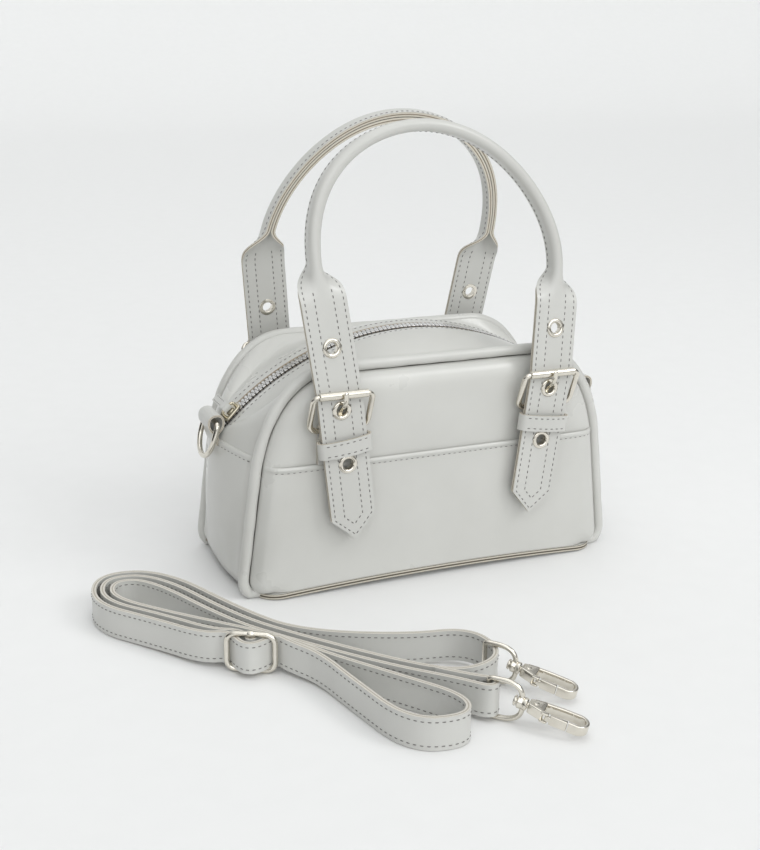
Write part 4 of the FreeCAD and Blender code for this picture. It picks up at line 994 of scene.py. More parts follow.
@dataclass
class FacePanels:
    """One face of the bag: the upper panel, the overlay below its seam and the piping round both."""

    face: Face
    seam_height: float = 75.4
    lap: float = 9.0
    ply: float = 1.4
    overlay_lift: float = 1.6
    bead: float = 0.8
    bead_drop: float = 1.3
    bead_run: float = 1.2
    stitch_drop: float = 3.0
    floor: float = 3.2
    arch_fade: float = 40.0
    fine_foot: float = 14.0
    fine_top: float = 6.0
    inside_height: float = 60.0
    stitch_end: float = 4.0
    piping_radius: float = 3.0
    piping_depth: float = 40.0
    piping_grow: float = 3.3
    piping_floor: float = 2.6
    piping_waves: tuple[tuple[float, float, float], ...] = ((0.025, 3.1, 0.0), (0.02, 7.7, 1.0))

    def spread(self) -> Array:
        """Shares across a panel, close together near its edges."""
        return np.sin(np.linspace(-math.pi / 2, math.pi / 2, 121))

    def build(self) -> None:
        """Makes the upper panel, the overlay, its stitching and the piping."""
        name = self.face.value
        half = SHAPE.flank()
        half = half[half[:, 1] > self.seam_height - self.lap]
        x = half[:, :1] * self.spread()
        z = np.broadcast_to(half[:, 1:], x.shape)
        upper = make_piece(f"{name}_upper_leather", self.skin(SHAPE.front(x, z, 0.0), 0), [LEATHER])
        dress(upper, "bag", "leather", f"{name}_panel_upper")

        high, top = self.seam_height - self.fine_top, self.seam_height
        rows = [np.linspace(self.floor, self.fine_foot, 18), np.linspace(self.fine_foot + 2.0, high, 30)]
        heights = np.concatenate([*rows, np.linspace(high + 0.4, top, 15)])
        x = SHAPE.half_width(heights)[:, None] * self.spread()
        z = np.broadcast_to(heights[:, None], x.shape)
        outer = SHAPE.front(x, z, self.overlay_lift)
        outer[..., 1] -= self.bead * np.exp(-(((top - self.bead_drop - z) / self.bead_run) ** 2))
        outer[..., 2] += SHAPE.arch(x) * (1.0 - smooth(z / self.arch_fade))
        lower = make_piece(f"{name}_overlay", self.skin(outer, 1), [LEATHER, RAW_EDGE])
        dress(lower, "bag", "leather", f"{name}_panel_lower")
        self.stitch()
        self.pipe()

    def skin(self, outer: Array, foot_finish: int) -> list[Patch]:
        """A leather skin under an outer surface over part of the face, with a rounded top edge."""
        inner = outer - self.ply * outward(outer, self.inside_height * Z_AXIS)
        return [patch.on(self.face) for patch in shell(outer, inner, (foot_finish, 0, 0, 0))]

    def stitch(self) -> None:
        """One row of stitches under the overlay's top edge."""
        height = self.seam_height - self.stitch_drop
        reach = SHAPE.half_width(np.array(height)) - self.stitch_end
        x = np.linspace(-reach, reach, 160)
        path = SHAPE.front(x, np.full_like(x, height), self.overlay_lift)
        row = Seam().row(path, np.broadcast_to(-Y_AXIS, path.shape)).on(self.face)
        sew(f"{self.face.value}_overlay_stitching", [row], "bag")

    def pipe(self) -> None:
        """Leather piping: a round tube along the outline, a little uneven as sewn piping is.

        Each wave of its radius has a share of the radius, a length and a shift.
        """
        line = resampled(both_halves(SHAPE.edge(self.piping_grow)), 420)
        path = np.insert(line, 1, -self.piping_depth, axis=1)
        path[:, 2] = np.maximum(path[:, 2], self.piping_floor)
        run = run_along(path)
        uneven = sum(share * np.sin(run / long + shift) for share, long, shift in self.piping_waves)
        radius = self.piping_radius * (1.0 + uneven)
        tube = swept(path, Y_AXIS, round_section(radius, 18)).on(self.face)
        piece = make_piece(f"{self.face.value}_piping_leather", [tube], [LEATHER], crease=60.0)
        dress(piece, "bag", "leather", f"{self.face.value}_piping")


@dataclass
class GussetBand:
    """The band between the faces: overlays on both sides and two halves along the zip."""

    ply: float = 1.3
    floor: float = 3.2
    edge_height: float = 78.6
    middle_height: float = 81.5
    overlay_lift: float = 0.9
    bead: float = 0.6
    bead_drop: float = 1.3
    bead_run: float = 1.2
    stitch_drop: float = 3.0
    slot_half: float = 6.3
    slot_low: float = 83.0
    slot_run: float = 6.0
    slot_dip: float = 1.4
    slot_roll: float = 4.0
    slot_stitch: float = 4.2
    slot_shut: float = 0.1
    edge_fade: float = 5.0
    side_skip: int = 6
    top_skip: int = 8
    top_overlap: float = 4.0
    top_crowd: float = 1.2
    inside_depth: float = -20.0
    inside_height: float = 40.0

    def build(self) -> None:
        """Makes the side overlays with their stitching and the two top gussets with theirs."""
        for hand in Hand:
            self.side(hand)
        for face in Face:
            self.top(face)

    def side(self, hand: Hand) -> None:
        """One side overlay: its top edge rises from the piping to the middle."""
        depth = SHAPE.band_half * np.sin(np.linspace(-math.pi / 2, math.pi / 2, 61))
        arch = 1.0 - (depth / SHAPE.band_half) ** 2
        top = self.edge_height + (self.middle_height - self.edge_height) * arch
        rows = np.sin(np.linspace(0.0, math.pi / 2, 70))
        base = SHAPE.band_at_heights(depth, np.full_like(depth, self.floor), top, rows)
        normals = outward(base, self.inside_height * Z_AXIS)
        edge_share = smooth((SHAPE.band_half - np.abs(base[..., 1:2])) / self.edge_fade)
        bead = self.bead * np.exp(-(((top - self.bead_drop - base[..., 2]) / self.bead_run) ** 2))
        outer = base + (self.overlay_lift + bead[..., None]) * edge_share * normals
        patches = shell(outer, outer - self.ply * normals, (1, 0, 0, 0))
        line = slice(self.side_skip, -self.side_skip)
        row_height = top[line] - self.stitch_drop
        path = SHAPE.band_at_heights(depth[line], row_height, row_height, np.ones(1))[0]
        path_normals = normals[-2 * self.side_skip, line]
        row = Seam().row(path + self.overlay_lift * path_normals, path_normals)
        if hand is Hand.LEFT:
            patches = [patch.mirrored() for patch in patches]
            row = row.mirrored()
        leather = make_piece(f"{hand.value}_side_overlay", patches, [LEATHER, RAW_EDGE])
        dress(leather, "bag", "leather", f"{hand.value}_side_gusset")
        sew(f"{hand.value}_side_stitching", [row], "bag")

    def top(self, face: Face) -> None:
        """Half of the top: from the zip's slot to the piping, over the crown from end to end."""
        stations = SHAPE.stations
        half = np.linspace(SHAPE.side_count - self.top_overlap, stations - 1.0, 110)
        level = np.concatenate([half, half[::-1][1:]])
        share = np.linspace(0.0, 1.0, 30) ** self.top_crowd
        crown_height = np.interp(level, np.arange(stations), SHAPE.crown()[:, 1])
        open_share = smooth((crown_height - self.slot_low) / self.slot_run)
        slot = self.slot_shut + (self.slot_half - self.slot_shut) * open_share
        depth = slot[:, None] + (SHAPE.band_half - slot[:, None]) * share
        outer = SHAPE.band(np.broadcast_to(level[:, None], depth.shape), -depth)
        outer[len(half) :, :, 0] *= -1.0
        near_slot = np.exp(-(((depth - slot[:, None]) / self.slot_roll) ** 2))
        dip = self.slot_dip * near_slot * open_share[:, None]
        inside = np.array([0.0, self.inside_depth, self.inside_height])
        outer = outer - dip[..., None] * outward(outer, inside)
        normals = outward(outer, inside)
        patches = shell(outer, outer - self.ply * normals, (0, 0, 1, 0))
        line = slice(self.top_skip, -self.top_skip)
        inset = self.slot_stitch / (SHAPE.band_half - slot[line])
        after = int(np.searchsorted(share, inset.mean()))
        weight = ((inset - share[after - 1]) / (share[after] - share[after - 1]))[:, None]
        path = outer[line, after - 1] * (1.0 - weight) + outer[line, after] * weight
        row = Seam().row(path, normals[line, after])
        turned = [patch.on(face) for patch in patches]
        leather = make_piece(f"{face.value}_top_leather", turned, [LEATHER, SLOT_EDGE])
        dress(leather, "bag", "leather", f"{face.value}_top_gusset")
        sew(f"{face.value}_top_stitching", [row.on(face)], "bag")


@dataclass
class Base:
    """The underside: a leather panel whose cut rim carries painted shadow along its borders, a hidden board
    and the hidden lining.
    """

    half_long: float = 105.0
    half_wide: float = 50.2
    ply: float = 3.0
    corner: float = 14.0
    edge: float = 0.3
    rim_count: int = 320

    def build(self) -> None:
        """Makes the base panel and gives the two hidden nodes their finishes."""
        corners = rounded_rectangle(self.half_long, self.half_wide, self.corner, 12)
        # The plate's cut rim takes the base edge finish, with its painted shadow along the top and bottom.
        plate = slab(resampled_loop(corners, self.rim_count), 0.0, self.ply, self.edge, side_finish=1)
        x, y = plate.points[:, 0], plate.points[:, 1]
        plate.points[:, 2] += SHAPE.arch(x) * np.abs(y) / self.half_wide
        piece = make_piece("base_leather", [plate], [LEATHER, BASE_EDGE_AND_SHADOW])
        dress(piece, "bag", "leather", "base_panel")
        for node, finish in (("base_board", STIFFENER), ("lining", LINING_CLOTH)):
            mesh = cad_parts[node].data
            mesh.materials.clear()
            mesh.materials.append(finish.material())


@dataclass
class Zip:
    """The zip over the top: tapes, teeth, end stops, the slider with its bail and the leather pull."""

    centre: float = -17.0
    tooth_low: float = 149.1
    tooth_high: float = 151.8
    tape_top: float = 150.0
    tape_ply: float = 0.6
    tape_half: float = 9.0
    half_angle: float = 45.2
    tape_angle: float = 46.4
    stop_angle: float = 46.0
    slider_angle: float = -43.4
    pitch: float = 2.5
    pitch_drop: float = 0.5
    tooth_edge: float = 0.28
    tape_inner: float = 2.6
    stop_half: Pair = (0.8, 3.0)
    stop_corner: float = 0.5
    stop_stand: float = 0.1
    stop_edge: float = 0.4
    plate_half: Pair = (6.2, 5.2)
    plate_corner: float = 2.6
    plate_taper: float = 0.22
    upper_plate: Pair = (151.9, 153.4)
    lower_plate: Pair = (147.2, 148.7)
    wedge_span: Pair = (148.4, 152.2)
    wedge_half: Pair = (1.5, 0.5)
    wedge_place: float = -4.0
    bail: float = 156.2
    bail_wire: float = 0.85
    pull_half_ply: float = 0.5
    pull_half_wide: float = 2.4
    pull_row: float = 1.5
    pull_row_ends: Pair = (5.5, 18.5)
    pull_face: float = 1.18

    def at(self, degrees: float) -> Place:
        """The frame at an angle from the top: along the zip, across it and away from its centre."""
        return turned_place((0.0, 0.0, self.centre), 1, degrees)

    def build(self) -> None:
        """Makes every piece of the zip."""
        for face in Face:
            self.tape(face)
            self.teeth(face)
        self.stops()
        self.slider()
        self.pull()

    def tape(self, face: Face) -> None:
        """A woven band beside the teeth, under the leather."""
        turn = np.radians(np.linspace(-self.tape_angle, self.tape_angle, 150))[:, None]
        depth = np.linspace(-self.tape_inner, -self.tape_half, 8)[None]
        layers = []
        for radius in (self.tape_top, self.tape_top - self.tape_ply):
            x, z = radius * np.sin(turn), self.centre + radius * np.cos(turn)
            layers.append(np.stack(np.broadcast_arrays(x, depth, z), axis=-1))
        patches = [patch.on(face) for patch in shell(layers[0], layers[1])]
        piece = make_piece(f"{face.value}_zip_weave", patches, [ZIP_CLOTH])
        dress(piece, "bag", "zip_cloth", f"{face.value}_zip_tape")

    def teeth(self, face: Face) -> None:
        """A row of teeth: a broad root on the tape and a narrow nub that passes the middle."""
        half = np.array([[-0.9, 3.6], [-0.9, 1.5], [-0.55, 0.6], [-0.58, -0.6], [-0.36, -0.95]])
        outline = np.concatenate([half, (half * np.array([-1.0, 1.0]))[::-1]])
        tooth = slab(outline, self.tooth_low, self.tooth_high, self.tooth_edge)
        step = math.degrees(self.pitch / (self.tooth_high - self.pitch_drop))
        start = -self.half_angle + (0.5 * step if face is Face.BACK else 0.0)
        turn = np.radians(np.arange(start, self.half_angle, step))[:, None]
        t, y, r = (tooth.points[None, :, k] for k in range(3))
        x = t * np.cos(turn) + r * np.sin(turn)
        z = self.centre + r * np.cos(turn) - t * np.sin(turn)
        side = -1.0 if face is Face.FRONT else 1.0
        points = np.stack(np.broadcast_arrays(x, side * y, z), axis=-1).reshape(-1, 3)
        count = len(turn)
        quads = tooth.quads[None] + len(tooth.points) * np.arange(count)[:, None, None]
        row = Patch(
            points,
            quads.reshape(-1, 4),
            np.tile(tooth.uv, (count, 1, 1)),
            np.tile(tooth.finish, count),
        )
        piece = make_piece(f"{face.value}_zip_tooth_row", [row], [ZIP_METAL])
        dress(piece, "bag", "zip_metal", f"{face.value}_zip_teeth")

    def stops(self) -> None:
        """A pressed clamp at each end of the teeth."""
        outline = rounded_rectangle(*self.stop_half, self.stop_corner)
        low, high = self.tooth_low - self.stop_stand, self.tooth_high + self.stop_stand
        clamp = slab(outline, low, high, self.stop_edge)
        both = [clamp.placed(self.at(side * self.stop_angle)) for side in SIDES]
        dress(make_piece("zip_end_stops", both, [ZIP_METAL]), "bag", "zip_metal", "zip_stops")

    def slider(self) -> None:
        """Two rounded plates, the wedge between them and a wire bail over the upper one."""
        outline = rounded_rectangle(*self.plate_half, self.plate_corner)
        outline[:, 1] *= 1.0 - self.plate_taper * smooth((outline[:, 0] + 1.0) / 6.5)
        bail = softened([(-4.3, 0, 152.8), (-4.3, 0, 155.6), (-3.2, 0, self.bail), (3.2, 0, self.bail)])
        bail = resampled(both_halves(bail), 40)
        wedge = rounded_rectangle(*self.wedge_half, 0.3) + np.array([self.wedge_place, 0.0])
        dome = [(0.0, 154.3), (1.2, 154.2), (2.2, 153.9), (2.7, 153.2)]
        boss = lathed(dome, turned_place((0, 0, 0), 2, 0), False)
        patches = [
            slab(outline, *self.upper_plate, 0.6),
            slab(outline, *self.lower_plate, 0.5),
            slab(wedge, *self.wedge_span, 0.1),
            boss,
            swept(bail, Y_AXIS, round_section(self.bail_wire, 12)),
        ]
        place = self.at(self.slider_angle)
        piece = make_piece("zip_slider_metal", [patch.placed(place) for patch in patches], [SLIDER_METAL])
        dress(piece, "zip_slider", "zip_metal", "zip_slider")

    def pull(self) -> None:
        """A strip of leather folded round the bail, its two plies laid together."""
        half = [(0, 20.0, 0.62), (0, 4.4, 0.62), (0, 1.4, 1.6), (0, -1.2, 1.5), (0, -1.7, 0.0)]
        corners = np.array(half + [(0, y, -h) for _, y, h in half[::-1][1:]], float)
        path = softened(corners + np.array([0.0, 0.0, self.bail]))
        strip = PLAIN_STRAP.band(path, X_AXIS, self.pull_half_ply, self.pull_half_wide, False)
        y = np.linspace(*self.pull_row_ends, 20)
        seam = Seam(pitch=2.6, long=1.8, radius=0.2)
        rows = []
        for side in SIDES:
            level = np.full(len(y), self.bail + side * self.pull_face)
            for across in SIDES:
                line = np.stack([np.full(len(y), across * self.pull_row), y, level], axis=1)
                rows.append(seam.row(line, np.broadcast_to(side * Z_AXIS, line.shape)))
        place = self.at(self.slider_angle)
        leather = make_piece("zip_pull_leather", [strip.placed(place)], [STRAP_LEATHER, STRAP_EDGE])
        dress(leather, "zip_pull", "leather", "zip_pull")
        sew("zip_pull_stitching", [row.placed(place) for row in rows], "zip_pull")


@dataclass
class EndRing:
    """A D ring at one end of the bag, hanging in a rolled leather tab."""

    hand: Hand
    span: float = 116.0
    height: float = 91.0
    swing: float = 16.0
    wire: float = 1.5
    half: float = 12.2
    arm: float = 8.5
    corner: float = 2.6
    tab_half: float = 9.5
    tab_half_ply: float = 0.62

    def build(self) -> None:
        """Makes the ring and the tab, drawn at the right end."""
        origin = np.array([self.span, 0.0, self.height])
        outline = d_outline(self.half, self.arm, self.corner)
        path = np.stack([np.zeros(len(outline)), outline[:, 1], -outline[:, 0]], axis=1)
        ring = swept(path, X_AXIS, round_section(self.wire, 18), closed=True)
        ring = ring.placed(turned_place(origin, 1, -self.swing))
        loop = [(-1.6, -12.5), (-0.7, -9.5), (0.0, -6.5), (-3.3, -3.2), (-4.3, 0.6), (-2.9, 3.9), (0.7, 4.5)]
        loop += [(3.8, 2.9), (4.4, -0.7), (3.4, -3.6), (1.5, -5.6), (1.35, -7.5), (0.6, -9.8), (-0.3, -12.5)]
        corners = np.insert(np.array(loop), 1, 0.0, axis=1)
        tab = PLAIN_STRAP.band(softened(corners) + origin, Y_AXIS, self.tab_half_ply, self.tab_half, False)
        if self.hand is Hand.LEFT:
            ring, tab = ring.mirrored(), tab.mirrored()
        name = self.hand.value
        metal = make_piece(f"{name}_ring_metal", [ring], [NICKEL])
        dress(metal, f"{name}_d_ring", "nickel", f"{name}_d_ring")
        leather = make_piece(f"{name}_tab_leather", [tab], [STRAP_LEATHER, RAW_EDGE])
        dress(leather, "bag", "leather", f"{name}_ring_tab")


@dataclass
class TopHandle:
    """One handle: a flat strap from tip to tip that folds along its middle into the grip.

    The strap is a flat sheet with a run from tip to tip and a coordinate across it. In the handle's own
    plane its middle line is a straight leg, one arc and a straight leg. Above each leg both halves turn
    towards the bag about the middle until they lie side by side.
    """

    face: Face
    sway: float
    fold_left: float
    fold_right: float
    span: float = 63.2
    slant: float = math.radians(6.9)
    rise: float = 136.2
    half_width: float = 12.6
    half_thick: float = 1.3
    tip: float = 82.2
    lean: float = math.radians(9.0)
    roller_y: float = -60.05
    roller_z: float = 115.6
    standoff: float = 3.9
    sway_start: float = 50.0
    grip_half: float = 9.8
    fold_run: float = 22.0
    fold_delay: float = 1.45
    fold_round: float = 3.4
    fold_most: float = 1.66
    hole: float = 3.9
    prong_hole: float = -9.0
    lower_hole: float = -39.0
    upper_hole: float = 24.6
    bend_run: float = 3.0
    tip_least: float = 0.1
    tip_fine: float = 14.0
    neck_reach: float = 8.0
    outer_row: float = 2.0
    inner_row: float = 7.4
    row_start: float = 1.15
    rim_radius: float = 4.1
    rim_half: float = 1.2
    rim_rise: float = 0.95

    def __post_init__(self) -> None:
        """Works out the arc and the strap's length."""
        lean_in = math.sin(self.slant)
        self.arc_centre = (self.rise - self.span * math.cos(self.slant)) / (1.0 + lean_in)
        self.arc_radius = self.rise - self.arc_centre
        self.leg = (self.arc_centre - self.arc_radius * lean_in + self.tip) / math.cos(self.slant)
        self.total = 2.0 * self.leg + self.arc_radius * (math.pi + 2.0 * self.slant)

    def place(self, run: Array, across: Array, lift: Array | float) -> Array:
        """Points of the strap.

        The middle line gives a point and the direction away from the handle's middle. A half strap turns
        through its fold angle over a short round and then runs straight. The lean starts at the roller.

        Args:
            run: length from the left tip.
            across: distance from the middle line, positive on the outer side.
            lift: distance from the strap's mid-plane, positive in front.

        Returns:
            Points in the bag's frame, for a handle on the front.
        """
        near = np.minimum(run, self.total - run)
        side = np.where(run < self.total / 2.0, -1.0, 1.0)
        height = near * math.cos(self.slant) - self.tip
        angle = math.pi + self.slant - np.maximum(near - self.leg, 0.0) / self.arc_radius
        on_leg = near < self.leg
        u = np.where(on_leg, self.span + height * math.tan(self.slant), -self.arc_radius * np.cos(angle))
        v = np.where(on_leg, height, self.arc_centre + self.arc_radius * np.sin(angle))
        away_u, away_v = -np.cos(angle), np.sin(angle)

        fold = self.fold_most * self.folded(run)
        size, sign = np.abs(across), np.where(across < 0.0, -1.0, 1.0)
        curved = np.minimum(size, self.fold_round)
        bend = fold * curved / self.fold_round
        out = curved * np.sinc(bend / math.pi) + (size - curved) * np.cos(bend)
        deep = curved * np.sinc(bend / (2 * math.pi)) * np.sin(bend / 2) + (size - curved) * np.sin(bend)
        out = sign * (out + lift * np.sin(bend))
        deep = self.standoff + deep - lift * np.cos(bend)

        v = v + away_v * out
        sway = self.sway * smooth((v - self.sway_start) / (self.rise - self.sway_start))
        u = side * (u + away_u * out) + sway
        lean = self.lean * smooth((v + self.bend_run) / (2.0 * self.bend_run))
        y = self.roller_y + deep * np.cos(lean) + v * np.sin(lean)
        z = self.roller_z - deep * np.sin(lean) + v * np.cos(lean)
        return np.stack([u, y, z], axis=-1)

    def folded(self, run: Array) -> Array:
        """How far the strap is folded at given runs, from 0 on a leg to 1 in the grip."""
        height = np.minimum(run, self.total - run) * math.cos(self.slant) - self.tip
        start = np.where(run < self.total / 2.0, self.fold_left, self.fold_right)
        return smooth(np.maximum((height - start) / self.fold_run, 0.0) ** self.fold_delay)

    def half_at(self, run: Array) -> Array:
        """Half width at given runs: pointed at the tips, full on the legs and narrower in the grip."""
        full = self.half_width + (self.grip_half - self.half_width) * self.folded(run)
        return np.minimum(full, np.minimum(run, self.total - run) + self.tip_least)

    def run_at(self, height: float, side: float) -> float:
        """Run of a point on a leg's middle at a height from the roller, on the left or right leg."""
        near = (height + self.tip) / math.cos(self.slant)
        return near if side < 0.0 else self.total - near

    def build(self) -> None:
        """Makes the strap, its stitching and the eyelets in it."""
        self.strap()
        self.stitching()
        name = self.face.value
        upper = [self.eyelet(self.upper_hole, side).on(self.face) for side in SIDES]
        piece = make_piece(f"{name}_leg_eyelets", upper, [NICKEL])
        dress(piece, f"{name}_handle", "nickel", f"{name}_handle_eyelets")

    def tail_eyelets(self) -> list[Patch]:
        """The four eyelets below the rollers."""
        places = [(height, side) for side in SIDES for height in (self.prong_hole, self.lower_hole)]
        return [self.eyelet(height, side).on(self.face) for height, side in places]

    def strap(self) -> None:
        """The leather from tip to tip, holed at the eyelets."""
        tip_runs = np.linspace(self.tip_least, self.tip_fine, 24, endpoint=False)
        half = np.concatenate([tip_runs, np.linspace(self.tip_fine, self.total / 2.0, 200)])
        run = np.concatenate([half, self.total - half[::-1][1:]])
        columns = StrapColumns(per_face=41, per_edge=4)
        share, lift = columns.section()
        across = share * self.half_at(run)[:, None]
        points = self.place(run[:, None] + 0.0 * across, across, self.half_thick * lift)

        heights = (self.prong_hole, self.lower_hole, self.upper_hole)
        holes = np.array([self.run_at(height, side) for height in heights for side in SIDES])
        face_cells = columns.per_face - 1
        mid_run = (run[:-1] + run[1:]) / 2
        mid_across = (across[:-1, :face_cells] + across[1:, 1 : face_cells + 1]) / 2
        gap = np.abs(mid_run[:, None] - holes).min(axis=1)
        open_cells = np.hypot(gap[:, None], mid_across) < self.hole
        keep = np.ones((len(run) - 1, points.shape[1]), bool)
        inner_start = columns.per_face + columns.per_edge
        keep[:, :face_cells] = ~open_cells
        keep[:, inner_start : inner_start + face_cells] = ~open_cells[:, ::-1]
        skin = columns.skin(points, run, False, keep)
        patches = [skin, self.hole_walls(points, open_cells, columns)]
        for end in (0, -1):
            ring = np.stack([points[end], np.broadcast_to(points[end].mean(axis=0), points[end].shape)])
            patches.append(grid(ring, loop_cols=True, finish=1))
        name = self.face.value
        leather = make_piece(
            f"{name}_handle_leather", [patch.on(self.face) for patch in patches], [STRAP_LEATHER, RAW_EDGE]
        )
        self.blend(leather)
        nodes = (f"{name}_handle", f"{name}_left_strap_end", f"{name}_right_strap_end")
        stand_for(leather, "leather", *nodes)

    def hole_walls(self, points: Array, open_cells: Array, columns: StrapColumns) -> Patch:
        """Faces that join the strap's two sides round every hole."""
        total = points.shape[1]
        inner_last = 2 * columns.per_face + columns.per_edge - 1
        padded = np.pad(open_cells, 1)
        row, col = np.nonzero(padded[1:-1, 1:] != padded[1:-1, :-1])
        uprights = np.stack([row * total + col, (row + 1) * total + col], axis=1)
        back = np.stack([(row + 1) * total + inner_last - col, row * total + inner_last - col], axis=1)
        row, col = np.nonzero(padded[1:, 1:-1] != padded[:-1, 1:-1])
        levels = np.stack([row * total + col, row * total + col + 1], axis=1)
        behind = np.stack([row * total + inner_last - col - 1, row * total + inner_last - col], axis=1)
        quads = np.concatenate([np.hstack([uprights, back]), np.hstack([levels, behind])])
        return Patch(points.reshape(-1, 3), quads, np.zeros((len(quads), 4, 2)), np.ones(len(quads), int))

    def blend(self, piece: Piece) -> None:
        """Bakes a piece's placement into its mesh; two points at the roller between the bag and the handle
        are worked out but not used.
        """
        turn = -1.0 if self.face is Face.BACK else 1.0
        drops = (-self.bend_run, self.bend_run)
        ends = [(0.0, turn * self.roller_y * MM, (self.roller_z + drop) * MM) for drop in drops]
        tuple(ends[0])
        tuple(ends[1])
        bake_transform(piece)

    def stitching(self) -> None:
        """Two rows along each edge of the flat parts; the outer one goes on over the outside of the grip."""
        rows = []
        for other, fold in ((False, self.fold_left), (True, self.fold_right)):
            neck = self.run_at(fold + self.neck_reach, -1.0)
            for side in (1.0, -1.0):
                for front, end in ((1.0, self.total / 2.0), (-1.0, neck)):
                    rows.append(self.row(self.outer_row, end, side, front, other))
                    rows.append(self.row(self.inner_row, neck, side, front, other))
        patches = [row.on(self.face) for row in rows]
        piece = make_piece(f"{self.face.value}_handle_stitching", patches, [THREAD], weld=False)
        self.blend(piece)
        stand_for(piece, "leather")

    def row(self, inset: float, end: float, side: float, front: float, other: bool) -> Patch:
        """One row of stitches: from the middle of the tip along its slope, then along the edge.

        Args:
            inset: distance of the row from the strap's edge.
            end: run where the row stops.
            side: 1 for the outer edge and -1 for the inner one.
            front: 1 for the front of the strap and -1 for its back.
            other: whether it starts at the right tip.

        Returns:
            The stitches of the row.
        """
        first = self.row_start * inset
        corner = first + self.half_width - inset
        near = np.concatenate([np.linspace(first, corner, 12), np.linspace(corner + 1.0, end, 150)])
        run = self.total - near if other else near
        across = side * np.minimum(near - first, self.half_at(run) - inset)
        lift = front * (self.half_thick + SEAM_GAP)
        path = self.place(run, across, lift)
        return Seam().row(path, unit(self.place(run, across, lift + front) - path))

    def eyelet(self, height: float, side: float) -> Patch:
        """A pressed eyelet: a rolled rim in front, a barrel and a flat washer behind."""
        run = np.array(self.run_at(height, side))
        middle = self.place(run, np.array(0.0), 0.0)
        axis = unit(self.place(run, np.array(0.0), 1.0) - middle)
        along = unit(self.place(run + 0.5, np.array(0.0), 0.0) - middle)
        turn = np.linspace(math.pi, 0.0, 9)
        ply = self.half_thick
        rim = np.stack([self.rim_half * np.cos(turn), self.rim_rise * np.sin(turn)], axis=1)
        rim = rim + np.array([self.rim_radius, ply])
        washer = [(3.25, ply), (3.25, -ply), (4.9, -ply), (4.9, -1.55), (4.6, -1.7)]
        washer += [(3.1, -1.7), (2.9, -1.5)]
        axes = np.stack([along, np.cross(axis, along), axis])
        return lathed(np.concatenate([rim, washer]), Place(middle, axes))


